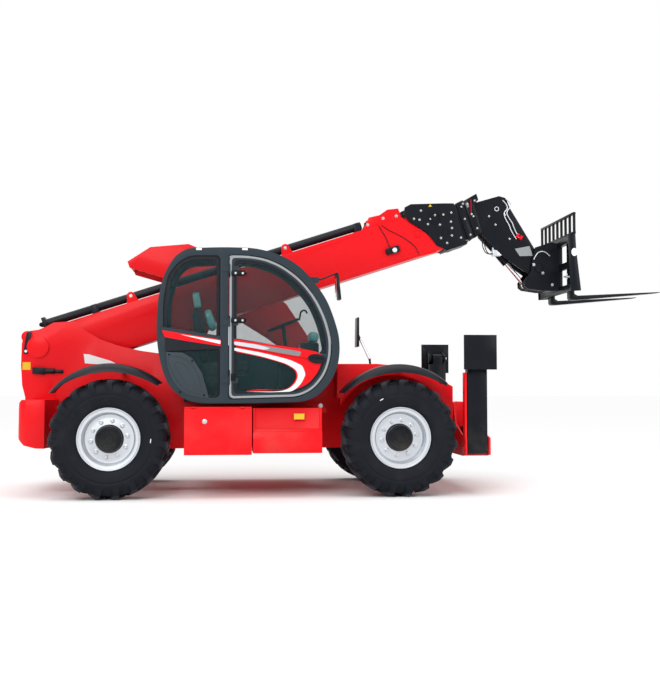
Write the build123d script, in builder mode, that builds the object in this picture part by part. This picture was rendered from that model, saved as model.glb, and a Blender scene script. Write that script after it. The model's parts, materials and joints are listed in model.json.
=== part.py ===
from build123d import *
from math import cos, sin, tan, acos, radians, hypot
import os

os.makedirs("parts", exist_ok=True)

# driving sizes, millimetres, ground at Z 0, nose toward +X, cab on the -Y side
wheel_base = 3070
front_axle_x = 435
rear_axle_x = front_axle_x - wheel_base
# the layout is drawn at drawn_base; another wheel base moves the tail and stretches what lies between the tyres
drawn_base = 3070
drawn_rear = front_axle_x - drawn_base
stretch_from = -2005
stretch_to = -195
tail_reach = 975
axle_z = 630
tyre_radius = 630
tyre_width = 400
wheel_y = 1010
kingpin_y = 890
rim_radius = 305
rail_in = 255
rail_out = 285
half_width = 1200
running_gap = 0.5



def place_x(x):
    shift = drawn_base - wheel_base
    if x <= stretch_from:
        return x + shift
    if x >= stretch_to:
        return x
    return x + shift * (stretch_to - x) / (stretch_to - stretch_from)


# boom line: pivot at the tail tower, u runs along the boom, w square to it
boom_angle = 18.1
pivot_x = place_x(-3520)
boom_shift = pivot_x + 3520
pivot_z = 1620
boom_cos = cos(radians(boom_angle))
boom_sin = sin(radians(boom_angle))
boom_low = -314
boom_high = 186
boom_half = 170

# cylinder pins
lift_base = (place_x(-3250), 800)
lift_eye_u = 1700
lift_eye_w = -470
tilt_base = (1520, 3150)
carriage_pin = (2300, 2600)
tilt_eye = (2162, 2403)
leg_pin = (1030, 500)
leg_x = 1300
foot_pin_z = 1545
leg_eye = (930, 780)
leg_anchor = (340, 680)

# hood hinge
hood_pin = (-300, 1450)


def boom_point(u, w):
    return (pivot_x + u * boom_cos - w * boom_sin, pivot_z + u * boom_sin + w * boom_cos)


lift_eye = boom_point(lift_eye_u, lift_eye_w)


def side(y):
    return Plane(origin=(0, y, 0), x_dir=(1, 0, 0), z_dir=(0, -1, 0))


def boom_face(y):
    return Plane(origin=(pivot_x, y, pivot_z), x_dir=(boom_cos, 0, boom_sin), z_dir=(0, -1, 0))


def front(x):
    return Plane(origin=(x, 0, 0), x_dir=(0, 1, 0), z_dir=(1, 0, 0))


def level(z):
    return Plane(origin=(0, 0, z), x_dir=(1, 0, 0), z_dir=(0, 0, 1))


# a closed outline whose corners are arcs: sharp corners take the given radius, shallow ones as much as fits
def soft_outline(points, radius):
    count = len(points)
    joints = []
    for i in range(count):
        a, b, c = Vector(*points[i - 1]), Vector(*points[i]), Vector(*points[(i + 1) % count])
        to_a = (a - b).normalized()
        to_c = (c - b).normalized()
        room = 0.45 * min((a - b).length, (c - b).length)
        half = acos(max(-1.0, min(1.0, to_a.dot(to_c)))) / 2
        reach = room if half > radians(68) else min(room, radius / tan(half))
        r = reach * tan(half)
        middle = b + (to_a + to_c).normalized() * (hypot(r, reach) - r)
        joints.append((b + to_a * reach, middle, b + to_c * reach))
    with BuildLine() as outline:
        for i in range(count):
            start, middle, end = joints[i]
            ThreePointArc(start, middle, end)
            Line(end, joints[(i + 1) % count][0])
    return outline


def slab(points, low, high, face=side, mode=Mode.ADD, soft=0):
    if face in (side, level):
        points = [(place_x(a), b) for a, b in points]
    if face is front:
        low, high = place_x(low), place_x(high)
    start = high if face in (side, boom_face) else low
    with BuildSketch(face(start)) as outline:
        if soft:
            add(soft_outline(points, soft))
        else:
            with BuildLine():
                Polyline(*points, close=True)
        make_face()
    extrude(outline.sketch, amount=high - low, mode=mode)


def block(x, y, z, mode=Mode.ADD):
    x = (place_x(x[0]), place_x(x[1]))
    middle = ((x[0] + x[1]) / 2, (y[0] + y[1]) / 2, (z[0] + z[1]) / 2)
    with Locations(middle):
        Box(x[1] - x[0], y[1] - y[0], z[1] - z[0], mode=mode)


def bar(start, end, radius, mode=Mode.ADD):
    a = Vector(*start)
    b = Vector(*end)
    with Locations(Plane(origin=a, z_dir=b - a)):
        Cylinder(radius, (b - a).length, align=(Align.CENTER, Align.CENTER, Align.MIN), mode=mode)


def tube(start, end, radius, mode=Mode.ADD):
    bar((place_x(start[0]), *start[1:]), (place_x(end[0]), *end[1:]), radius, mode)


def cross_pin(x, z, y_low, y_high, radius, mode=Mode.ADD):
    bar((x, y_low, z), (x, y_high, z), radius, mode)


def save_shape(shape, name):
    shape.label = name
    export_step(shape, "parts/" + name + ".step")


def save(piece, name, shift=0):
    save_shape(piece.part.moved(Location((shift, 0, 0))), name)


def mirrored(sign, y_low, y_high):
    return (y_low, y_high) if sign > 0 else (-y_high, -y_low)


def arc_points(centre, radius, start, end, count):
    steps = [start + (end - start) * i / (count - 1) for i in range(count)]
    return [(centre[0] + radius * cos(radians(a)), centre[1] + radius * sin(radians(a))) for a in steps]


# main frame: two deep side plates, belly plate and cross members
rail_outline = [
    (-3640, 1006), (-3690, 1195), (-3705, 1418), (-3700, 1660), (-3680, 1740), (-3620, 1800),
    (-3520, 1815), (-3447, 1845), (-3360, 1896), (-3140, 1914), (-2990, 1800), (-2850, 1715),
    (-2640, 1640), (-2400, 1585), (-2205, 1558), (-190, 1433), (698, 1360), (992, 1256),
    (1140, 1180), (1155, 900), (1155, 480), (740, 560), (700, 790), (170, 790), (120, 480),
    (-2320, 480), (-2370, 790), (-2900, 790), (-2950, 560), (-3290, 560), (-3290, 1006),
]
with BuildPart() as chassis_frame:
    for sign in (-1, 1):
        rail = mirrored(sign, rail_in, rail_out)
        slab(rail_outline, rail[0], rail[1])
        boss = mirrored(sign, rail_out, rail_out + 30)
        cross_pin(pivot_x, pivot_z, boss[0], boss[1], 120)
        bearing = mirrored(sign, boom_half + 10, rail_in)
        cross_pin(pivot_x, pivot_z, bearing[0], bearing[1], 110)
    block((-2310, 110), (-rail_in, rail_in), (480, 495))
    block((-3660, -3630), (-rail_in, rail_in), (1010, 1230))
    block((-3380, -3270), (-rail_in, rail_in), (560, 700))
    block((700, 730), (-rail_in, rail_in), (600, 980))
    block((-1400, -1370), (-rail_in, rail_in), (495, 760))
    block((-2880, -2280), (-rail_in, rail_in), (770, 805))
    block((80, 770), (-rail_in, rail_in), (770, 805))
    cross_pin(pivot_x, pivot_z, -rail_in, rail_in, 55)
    for sign in (-1, 1):
        lug = mirrored(sign, 92, 120)
        slab([(-3380, 700), (-3120, 700), (-3190, 860), (-3310, 860)], lug[0], lug[1])
    block((-3380, -3110), (-rail_in, rail_in), (680, 700))
    cross_pin(lift_base[0], lift_base[1], -120, 120, 35)
save(chassis_frame, "chassis_frame")

# ballast casting across the tail
tail_x = drawn_rear - tail_reach
weight_front = drawn_rear - 657
weight_half = 920
corner = 90
with BuildPart() as rear_counterweight:
    slab(
        [(tail_x + 10, 1003), (tail_x + 40, 1035), (weight_front, 1035), (weight_front, 520), (tail_x + 190, 524),
         (tail_x + 70, 556), (tail_x + 10, 620), (tail_x, 650), (tail_x, 900)],
        -weight_half, weight_half,
    )
    # rounded in plan, hollowed for the swing of the steered tyres and for the frame
    plan = [(weight_front, -weight_half)] + [(weight_front, weight_half)]
    plan += arc_points((tail_x + corner, weight_half - corner), corner, 90, 180, 7)
    plan += arc_points((tail_x + corner, corner - weight_half), corner, 180, 270, 7)
    slab(plan, 500, 1100, level, Mode.INTERSECT)
    for sign in (-1, 1):
        king = (rear_axle_x, sign * kingpin_y)
        bar((*king, 500), (*king, 1100), 694, Mode.SUBTRACT)
    block((-3720, -3280), (-rail_out - 0.3, rail_out + 0.3), (1005.7, 1200), Mode.SUBTRACT)
    block((-3380.3, -3200), (-rail_out - 0.3, rail_out + 0.3), (500, 1100), Mode.SUBTRACT)
save(rear_counterweight, "rear_counterweight")

# towing hitch below the tail
hitch_pin_x = tail_x - 58
with BuildPart() as tow_hitch:
    block((tail_x - 25, tail_x - 0.3), (-95, 95), (655, 835))
    for z in (690, 775):
        slab([(tail_x - 20, -75), (tail_x - 20, 75), (tail_x - 80, 50), (tail_x - 98, 0), (tail_x - 80, -50)],
             z, z + 25, level)
    tube((hitch_pin_x, 0, 600), (hitch_pin_x, 0, 900), 16.5, Mode.SUBTRACT)
save(tow_hitch, "tow_hitch")

# front covers left and right of the boom trough
cover_outline = [(-190, 1433), (264, 1434), (480, 1415), (698, 1360), (992, 1256), (1130, 1180), (1130, 700),
                 (-190, 700)]
with BuildPart() as front_covers:
    for sign in (-1, 1):
        span = mirrored(sign, rail_out + 0.5, 620)
        slab(cover_outline, span[0], span[1])
        inner = mirrored(sign, rail_out + 12, 608)
        slab([(-178, 1421), (264, 1422), (476, 1403), (692, 1349), (986, 1245), (1118, 1172), (1118, 600),
              (-178, 600)], inner[0], inner[1], mode=Mode.SUBTRACT)
        wide = mirrored(sign, rail_out - 5, 700)
        cross_pin(front_axle_x, axle_z, wide[0], wide[1], 672, Mode.SUBTRACT)
        block((-300, -150), wide, (600, 1050), Mode.SUBTRACT)
save(front_covers, "front_covers")

# arched mudguards: a rounded section turned about the axle, trimmed to a crescent, on stub tubes
guard_top = 790
guard_skirt = 690
guard_wall = 16
guard_in = 800
guard_out = 1195
guard_from = 48
guard_turn = 94
trim_drop = 229
trim_in = 5
with BuildPart() as mudguards:
    for axle_x in (front_axle_x, drawn_rear):
        x = place_x(axle_x)
        inside = guard_top - guard_wall
        for sign in (-1, 1):
            edge = cos(radians(guard_from)), sin(radians(guard_from))
            section = Plane(origin=(x, 0, axle_z), x_dir=(edge[0], 0, edge[1]), z_dir=(-edge[1], 0, edge[0]))
            shoulder = sign * (guard_out - 110)
            with BuildSketch(section) as guard:
                with BuildLine():
                    Line((guard_top, sign * guard_in), (guard_top, shoulder))
                    ThreePointArc((guard_top, shoulder), (guard_top - 30, sign * (guard_out - 32)),
                                  (guard_skirt, sign * guard_out))
                    Line((guard_skirt, sign * guard_out), (guard_skirt, sign * (guard_out - guard_wall)))
                    ThreePointArc((guard_skirt, sign * (guard_out - guard_wall)),
                                  (inside - 29, sign * (guard_out - 44)), (inside, shoulder))
                    Line((inside, shoulder), (inside, sign * guard_in))
                    Line((inside, sign * guard_in), (guard_top, sign * guard_in))
                make_face()
            revolve(guard.sketch, Axis((x, 0, axle_z), (0, -1, 0)), revolution_arc=guard_turn)
            wide = mirrored(sign, guard_in - 20, guard_out + 20)
            cross_pin(x, axle_z - trim_drop, wide[0], wide[1], guard_skirt + trim_drop + trim_in, Mode.SUBTRACT)
        for sign in (-1, 1):
            stay = mirrored(sign, rail_out + 0.5 if axle_x == drawn_rear else 620.5, 820)
            cross_pin(place_x(axle_x + 60), axle_z + guard_top - 65, stay[0], stay[1], 22)
            post = mirrored(sign, 800, 840)
            block((axle_x + 45, axle_x + 75), post, (axle_z + guard_top - 65, axle_z + inside + 4))
save(mudguards, "mudguards")


# axles with kingpin forks, steering knuckles, rims and tyres
def axle(name, x):
    with BuildPart() as axle_body:
        tube((x, -760, axle_z), (x, 760, axle_z), 95)
        for sign in (-1, 1):
            with Locations(Plane(origin=(place_x(x), 0, axle_z), z_dir=(0, sign, 0))):
                Cone(135, 95, 150, align=(Align.CENTER, Align.CENTER, Align.MIN))
        block((x - 120, x + 120), (-rail_out, rail_out), (axle_z + 60, axle_z + 139.7))
        for sign in (-1, 1):
            arm = mirrored(sign, 740, kingpin_y + 45)
            block((x - 65, x + 65), arm, (axle_z + 100, axle_z + 135))
            block((x - 65, x + 65), arm, (axle_z - 135, axle_z - 100))
            yoke = mirrored(sign, 730, 790)
            block((x - 65, x + 65), yoke, (axle_z - 135, axle_z + 135))
        tube((x + 150, -430, axle_z + 10), (x + 150, 430, axle_z + 10), 42)
        block((x + 60, x + 150), (-60, 60), (axle_z - 30, axle_z + 50))
    save(axle_body, name)


axle("front_axle", front_axle_x)
axle("rear_axle", drawn_rear)

hub_in = -6
hub_out = 140
lip = rim_radius + 25
seat_radius = rim_radius - 17


def knuckle_part(name, drawn_x, sign):
    x = place_x(drawn_x)
    with BuildPart() as knuckle:
        bar((x, sign * kingpin_y, axle_z - 99.7), (x, sign * kingpin_y, axle_z + 99.7), 60)
        bar((x, sign * kingpin_y, axle_z), (x, sign * (wheel_y + hub_in - 3), axle_z), 92)
        bar((x, sign * (wheel_y + hub_in - 10), axle_z), (x, sign * (wheel_y + hub_in + 40), axle_z), 45)
        arm = mirrored(sign, kingpin_y - 30, kingpin_y + 30)
        block((drawn_x + 40, drawn_x + 170), arm, (axle_z - 40, axle_z - 5))
    save(knuckle, "knuckle_" + name)


# rim turned about Z, dished toward the outside, with its wheel nuts
with BuildPart() as rim:
    with BuildSketch(Plane.XZ) as rim_section:
        with BuildLine():
            Polyline(
                (lip, -158), (lip, -148), (seat_radius, -138), (seat_radius, 138), (lip, 148), (lip, 158),
                (seat_radius - 10, 148), (seat_radius - 26, 56), (146, 70), (134, hub_out - 8), (118, hub_out),
                (0, hub_out), (0, hub_in + 60), (46, hub_in + 60), (46, hub_in), (150, hub_in),
                (seat_radius - 26, 30), (seat_radius - 10, -148),
                close=True,
            )
        make_face()
    revolve(rim_section.sketch, Axis.Z)
    with BuildSketch(Plane.XY.offset(50)) as nuts:
        with PolarLocations(190, 10):
            RegularPolygon(17, 6)
    extrude(nuts.sketch, amount=36)

# tyre about Z: one flat facet of the carcass, patterned, with staggered lugs
facets = 30
tread_radius = tyre_radius - 28
lug_radius = tyre_radius - 0.9
tyre_half = tyre_width / 2
lug_lean = 12
lug_width = 40
with BuildPart() as carcass_facet:
    with BuildSketch(Plane.XZ) as carcass_section:
        with BuildLine():
            w = tyre_half
            Polyline(
                (rim_radius, -141.6), (rim_radius + 40, -149), (rim_radius + 160, -w), (tread_radius, 40 - w),
                (tread_radius, w - 40), (rim_radius + 160, w), (rim_radius + 40, 149), (rim_radius, 141.6),
                (tread_radius - 40, 0),
                close=True,
            )
        make_face()
    extrude(carcass_section.sketch, amount=80, both=True)
    half_step = tan(radians(180 / facets)) * 700
    with BuildSketch(Plane.XY) as wedge:
        with BuildLine():
            Polyline((0, 0), (700, half_step), (700, -half_step), close=True)
        make_face()
    extrude(wedge.sketch, amount=tyre_width, both=True, mode=Mode.INTERSECT)

with BuildPart() as lug:
    with BuildSketch(Plane.XZ) as lug_section:
        with BuildLine():
            Polyline(
                (tread_radius - 20, -96), (lug_radius, -90), (lug_radius, 66), (tread_radius - 30, 96),
                (tread_radius - 70, 60),
                close=True,
            )
        make_face()
    extrude(lug_section.sketch, amount=lug_width / 2, both=True)

lug_place = tyre_half - 98
step = 360 / facets
lugs = []
for i in range(facets):
    near = i % 2 == 0
    seat = Location((0, 0, lug_place), (lug_lean, 0, 0)) if near else Location((0, 0, -lug_place), (180 - lug_lean, 0, 0))
    lugs.append(lug.part.moved(Location((0, 0, 0), (0, 0, i * step)) * seat))
with BuildPart() as tyre:
    with PolarLocations(0, facets):
        add(carcass_facet.part)
    add(lugs)

for name, drawn_x, sign in (
    ("front_right", front_axle_x, -1), ("front_left", front_axle_x, 1),
    ("rear_right", drawn_rear, -1), ("rear_left", drawn_rear, 1),
):
    knuckle_part(name, drawn_x, sign)
    place = Plane(origin=(place_x(drawn_x), sign * wheel_y, axle_z), x_dir=(0, 0, -1), z_dir=(0, sign, 0)).location
    save_shape(rim.part.moved(place), "rim_" + name)
    side_tyre = tyre.part if sign > 0 else tyre.part.mirror(Plane.XY)
    save_shape(side_tyre.moved(place), "tyre_" + name)


# boom sections, each a hollow box sliding in the one before
def box_section(box, start, end):
    half, low, high, wall = box
    slab([(start, low), (end, low), (end, high), (start, high)], -half, half, boom_face)
    slab(
        [(start - 5, low + wall), (end + 5, low + wall), (end + 5, high - wall), (start - 5, high - wall)],
        wall - half, half - wall, boom_face, Mode.SUBTRACT,
    )


# box sizes from the outside in: half width, underside, top, wall
base_box = (boom_half, boom_low, boom_high, 14)
box_1 = (150, -292, 140, 12)
box_2 = (132, -274, 122, 12)
box_3 = (114, -256, 104, 12)
pad_gap = 0.3


def wear_ring(outer, inner, start, end):
    half, low, high, wall = outer
    slab([(start, low + wall), (end, low + wall), (end, high - wall), (start, high - wall)],
         wall - half, half - wall, boom_face)
    half, low, high, wall = inner
    slab(
        [(start - 5, low - pad_gap), (end + 5, low - pad_gap), (end + 5, high + pad_gap),
         (start - 5, high + pad_gap)],
        -half - pad_gap, half + pad_gap, boom_face, Mode.SUBTRACT,
    )


def tail_collar(outer, inner, start, end):
    half, low, high, wall = outer
    edge = wall + pad_gap
    slab([(start, low + edge), (end, low + edge), (end, high - edge), (start, high - edge)],
         edge - half, half - edge, boom_face)
    half, low, high, wall = inner
    slab([(start - 5, low + wall), (end + 5, low + wall), (end + 5, high - wall), (start - 5, high - wall)],
         wall - half, half - wall, boom_face, Mode.SUBTRACT)


with BuildPart() as boom_base:
    slab(
        [(-150, -200), (-60, boom_low), (4700, boom_low), (4811, boom_low), (4720, -200), (4640, -60),
         (4430, boom_high), (-90, boom_high), (-150, 110)],
        -boom_half, boom_half, boom_face,
    )
    slab(
        [(160, boom_low + 14), (5000, boom_low + 14), (5000, boom_high - 14), (160, boom_high - 14)],
        14 - boom_half, boom_half - 14, boom_face, Mode.SUBTRACT,
    )
    wear_ring(base_box, box_1, 4470, 4620)
    cross_pin(pivot_x, pivot_z, -boom_half - 8, boom_half + 8, 100)
    cross_pin(pivot_x, pivot_z, -boom_half - 10, boom_half + 10, 55 + running_gap, Mode.SUBTRACT)
    for sign in (-1, 1):
        ear = mirrored(sign, 56, 84)
        e = lift_eye_u
        low = lift_eye_w
        slab([(e - 110, boom_low), (e + 220, boom_low), (e + 75, low - 10), (e + 40, low - 50), (e - 40, low - 50),
              (e - 75, low - 10)], ear[0], ear[1], boom_face)
        stub = mirrored(sign, 47, 56)
        with Locations(boom_face(stub[1])):
            with Locations((lift_eye_u, lift_eye_w)):
                Cylinder(34, 9, align=(Align.CENTER, Align.CENTER, Align.MIN))
        # head plates bolted outside the box
        plate = mirrored(sign, boom_half, boom_half + 16)
        slab([(4498, 293), (4578, 307), (4961, 201), (5077, 165), (5059, -228), (5087, -337), (4917, -347),
              (4799, -322), (4722, -249), (4657, -66), (4499, 107), (4457, 207)], plate[0], plate[1], boom_face)
    slab([(4500, 186), (4560, 290), (4961, 200), (5077, 165), (5077, 149), (4961, 180), (4560, 265), (4520, 186)],
         -boom_half, boom_half, boom_face)
    slab([(4811, -343), (5080, -343), (5080, -320), (4811, -320)], -boom_half, boom_half, boom_face)
save(boom_base, "boom_base")

with BuildPart() as boom_section_1:
    box_section(box_1, 200, 5200)
    wear_ring(box_1, box_2, 5040, 5195)
    tail_collar(base_box, box_1, 200, 320)
    for sign in (-1, 1):
        plate = mirrored(sign, 150, 172)
        slab([(5100, 140), (5195, 172), (5195, -300), (5108, -305)], plate[0], plate[1], boom_face)
    slab([(5100, 140), (5195, 140), (5195, 172), (5100, 158)], -172, 172, boom_face)
save(boom_section_1, "boom_section_1")

with BuildPart() as boom_section_2:
    box_section(box_2, 260, 5300)
    wear_ring(box_2, box_3, 5060, 5200)
    tail_collar(box_1, box_2, 260, 380)
    for sign in (-1, 1):
        plate = mirrored(sign, 132, 166)
        slab([(5205, 122), (5382, 197), (5382, 121), (5315, 79), (5300, -262), (5205, -300)], plate[0], plate[1],
             boom_face)
    slab([(5205, 122), (5300, 122), (5375, 197), (5205, 160)], -166, 166, boom_face)
    slab([(5225, -300), (5320, -300), (5320, -255), (5225, -255)], -90, 90, boom_face, Mode.SUBTRACT)
save(boom_section_2, "boom_section_2")

with BuildPart() as boom_section_3:
    box_section(box_3, 320, 5330)
    tail_collar(box_2, box_3, 320, 440)
    slab([(5150, -270), (5400, -270), (5400, -230), (5150, -230)], -80, 80, boom_face, Mode.SUBTRACT)
    for sign in (-1, 1):
        plate = mirrored(sign, 90, 114)
        slab([(5312, 104), (5332, 104), (5653, 95), (5727, 47), (5735, -83), (5920, -860), (5900, -930), (5836, -955),
              (5770, -930), (5692, -900), (5483, -637), (5312, -300)], plate[0], plate[1], boom_face)
    slab([(5320, 104), (5653, 95), (5727, 47), (5735, -83), (5850, -560), (5838, -563), (5723, -84), (5715, 40),
          (5650, 83), (5320, 92)], -90, 90, boom_face)
    cross_pin(tilt_base[0] + boom_shift, tilt_base[1], -102, 102, 22)
    cross_pin(carriage_pin[0] + boom_shift, carriage_pin[1], -114, 114, 62)
    cross_pin(carriage_pin[0] + boom_shift, carriage_pin[1], -120, 120, 30 + running_gap, Mode.SUBTRACT)
save(boom_section_3, "boom_section_3")

# hydraulic tube along the boom top
with BuildPart() as boom_hose_tube:
    a = boom_point(120, 258)
    b = boom_point(3960, 258)
    bar((a[0], 0, a[1]), (b[0], 0, b[1]), 48)
    for u in (700, 2200, 3900):
        slab([(u - 45, boom_high), (u + 45, boom_high), (u + 30, 300), (u - 30, 300)], -70, 70, boom_face)
    slab([(90, boom_high), (130, boom_high), (130, 330), (90, 330)], -60, 60, boom_face)
save(boom_hose_tube, "boom_hose_tube")


# hydraulic cylinders: barrel with eye, rod with eye
def along(start, end, distance):
    length = hypot(end[0] - start[0], end[1] - start[1])
    k = distance / length
    return (start[0] + (end[0] - start[0]) * k, start[1] + (end[1] - start[1]) * k)


def cylinder(name, base, eye, place, lengths, radii, eye_size, shift=0):
    length = hypot(eye[0] - base[0], eye[1] - base[1])
    barrel_length, rod_length = lengths
    radius, bore, rod_radius = radii
    eye_radius, pin_radius, eye_half = eye_size
    start = pin_radius + 6

    def at(distance, shift=0):
        p = along(base, eye, distance)
        return place(p[0], p[1], shift)

    with BuildPart() as barrel:
        bar(at(0, -eye_half), at(0, eye_half), eye_radius)
        bar(at(start), at(barrel_length), radius)
        bar(at(start + 26), at(barrel_length - 20), bore, Mode.SUBTRACT)
        bar(at(barrel_length - 25), at(barrel_length + 5), rod_radius + running_gap, Mode.SUBTRACT)
        bar(at(0, -eye_half - 5), at(0, eye_half + 5), pin_radius + running_gap, Mode.SUBTRACT)
    save(barrel, name + "_barrel", shift)
    with BuildPart() as rod:
        bar(at(length - rod_length), at(length - start), rod_radius)
        bar(at(length, -eye_half), at(length, eye_half), eye_radius)
        bar(at(length, -eye_half - 5), at(length, eye_half + 5), pin_radius + running_gap, Mode.SUBTRACT)
    save(rod, name + "_rod", shift)


def in_side(x, z, shift):
    return (x, shift, z)


cylinder("lift", lift_base, lift_eye, in_side, (1230, 1330), (85, 70, 40), (52, 35, 45))
cylinder("tilt", tilt_base, tilt_eye, in_side, (640, 660), (46, 38, 25), (38, 22, 30), boom_shift)

for side_name, sign in (("right", -1), ("left", 1)):

    def in_front(y, z, shift, sign=sign):
        return (leg_x + shift, sign * y, z)

    cylinder("stabilizer_" + side_name, leg_anchor, leg_eye, in_front, (532, 545), (42, 34, 24), (34, 18, 25))

# stabilizer frame across the nose
with BuildPart() as stabilizer_frame:
    for x in (1155.5, 1415):
        slab(
            [(-1100, 440), (-960, 420), (960, 420), (1100, 440), (1100, 620), (900, 660), (620, 760), (520, 1000),
             (-520, 1000), (-620, 760), (-900, 660), (-1100, 620)],
            x, x + 20, front,
        )
    block((1175, 1415.5), (-940, 940), (420, 435))
    block((1175, 1415.5), (-285, 285), (435, 1000))
    block((1190, 1400), (-270, 270), (450, 985), Mode.SUBTRACT)
    for sign in (-1, 1):
        tower = mirrored(sign, 985, 1090)
        block((1155.5, 1175.5), tower, (440, 1330))
        bar((1150, sign * leg_pin[0], leg_pin[1]), (1440, sign * leg_pin[0], leg_pin[1]), 30)
        bar((1238, sign * leg_anchor[0], leg_anchor[1]), (1362, sign * leg_anchor[0], leg_anchor[1]), 18)
        for x in (1236, 1346):
            ear = mirrored(sign, 285, 375)
            block((x, x + 18), ear, (640, 720))
save(stabilizer_frame, "stabilizer_frame")


def stabilizer(side_name, sign):
    y = leg_pin[0]
    with BuildPart() as leg:
        span = mirrored(sign, y - 60, y + 60)
        block((1188, 1402), span, (leg_pin[1], foot_pin_z))
        bar((1188, sign * y, leg_pin[1]), (1402, sign * y, leg_pin[1]), 60)
        block((1200, 1390), mirrored(sign, y - 48, y + 48), (leg_pin[1] + 90, foot_pin_z - 80), Mode.SUBTRACT)
        bar((1240, sign * y, foot_pin_z), (1360, sign * y, foot_pin_z), 60)
        for x in (1180, 1360):
            block((x, x + 60), mirrored(sign, y - 70, y + 70), (foot_pin_z - 75, foot_pin_z + 80), Mode.SUBTRACT)
        bar((1150, sign * y, leg_pin[1]), (1440, sign * y, leg_pin[1]), 30 + running_gap, Mode.SUBTRACT)
        bar((1190, sign * y, foot_pin_z), (1410, sign * y, foot_pin_z), 22 + running_gap, Mode.SUBTRACT)
        block((1272, 1328), mirrored(sign, y - 70, y - 46), (leg_pin[1] - 100, leg_eye[1] + 40), Mode.SUBTRACT)
        for x in (1250, 1330):
            ear = mirrored(sign, 900, y - 55)
            block((x, x + 20), ear, (leg_eye[1] - 45, leg_eye[1] + 45))
        for x in (1270, 1327):
            bar((x, sign * leg_eye[0], leg_eye[1]), (x + 3, sign * leg_eye[0], leg_eye[1]), 17)
    save(leg, "stabilizer_leg_" + side_name)
    with BuildPart() as foot:
        block((1125, 1485), mirrored(sign, 1172, 1196), (1360, 1735))
        for x in (1190, 1382):
            slab([(sign * 1180, 1440), (sign * 1180, 1650), (sign * (y - 30), 1580), (sign * (y - 30), 1510)],
                 x, x + 28, front)
        bar((1190, sign * y, foot_pin_z), (1410, sign * y, foot_pin_z), 22)
    save(foot, "stabilizer_foot_" + side_name)


stabilizer("right", -1)
stabilizer("left", 1)

# fork carriage, backrest and forks
with BuildPart() as fork_carriage:
    for sign in (-1, 1):
        cheek = mirrored(sign, 120, 145)
        slab([(2120, 2380), (2160, 2350), (2345, 2325), (2590, 2330), (2590, 2880), (2460, 2914), (2260, 2850),
              (2220, 2700), (2200, 2560), (2115, 2440)], cheek[0], cheek[1])
        end = mirrored(sign, 585, 605)
        slab([(2527, 2281), (2650, 2289), (2607, 2677), (2596, 2793), (2589, 2947), (2500, 2935)], end[0], end[1])
        stub = mirrored(sign, 34, 60)
        cross_pin(tilt_eye[0], tilt_eye[1], stub[0], stub[1], 21)
        lobe = mirrored(sign, 36, 60)
        slab([(2120, 2380), (2160, 2350), (2420, 2330), (2420, 2420), (2200, 2460), (2120, 2440)], lobe[0], lobe[1])
    block((2420, 2570), (-120, 120), (2330, 2420))
    block((2520, 2589.7), (-590, 590), (2850, 2930))
    block((2540, 2589.7), (-590, 590), (2290, 2370))
    cross_pin(carriage_pin[0], carriage_pin[1], -145, 145, 30)
    for sign in (-1, 1):
        rib = mirrored(sign, 145, 590)
        block((2545, 2575), rib, (2560, 2640))
save(fork_carriage, "fork_carriage", boom_shift)

with BuildPart() as load_backrest:
    block((2566, 2596), (-605, 605), (2947.5, 2975))
    block((2566, 2596), (-605, 605), (3175, 3201))
    for i in range(9):
        y = -590 + i * 1180 / 8
        block((2568, 2594), (y - 12, y + 12), (2960, 3190))
save(load_backrest, "load_backrest", boom_shift)

with BuildPart() as forks:
    for sign in (-1, 1):
        blade = mirrored(sign, 290, 410)
        slab([(2590, 2215), (2610, 2197), (2665, 2197), (3600, 2283), (3687, 2293), (3690, 2300), (2680, 2247),
              (2640, 2270), (2630, 2946), (2590, 2946)], blade[0], blade[1])
        hook = mirrored(sign, 300, 400)
        block((2540, 2600), hook, (2930.3, 2946))
save(forks, "forks", boom_shift)

# cab shell
cab_in = -310
cab_out = -1200
cab_outline = [
    (-2143, 1609), (-2151, 1870), (-2137, 2080), (-2107, 2238), (-2057, 2396), (-1965, 2545), (-1872, 2610),
    (-1809, 2632), (-1443, 2648), (-1127, 2642), (-915, 2592), (-756, 2524), (-617, 2425), (-479, 2266),
    (-361, 2097), (-286, 1905), (-233, 1724), (-222, 1565), (-243, 1395), (-318, 1225), (-456, 1077),
    (-615, 1014), (-1173, 1000), (-1694, 1000), (-1850, 1036), (-2006, 1161), (-2090, 1348),
]


def shrink(points, distance):
    count = len(points)
    result = []
    for i in range(count):
        a = points[i - 1]
        b = points[i]
        c = points[(i + 1) % count]
        e1 = (b[0] - a[0], b[1] - a[1])
        e2 = (c[0] - b[0], c[1] - b[1])
        l1 = hypot(*e1)
        l2 = hypot(*e2)
        n1 = (e1[1] / l1, -e1[0] / l1)
        n2 = (e2[1] / l2, -e2[0] / l2)
        m = (n1[0] + n2[0], n1[1] + n2[1])
        k = distance * 2 / (m[0] ** 2 + m[1] ** 2)
        result.append((b[0] + m[0] * k, b[1] + m[1] * k))
    return result


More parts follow.
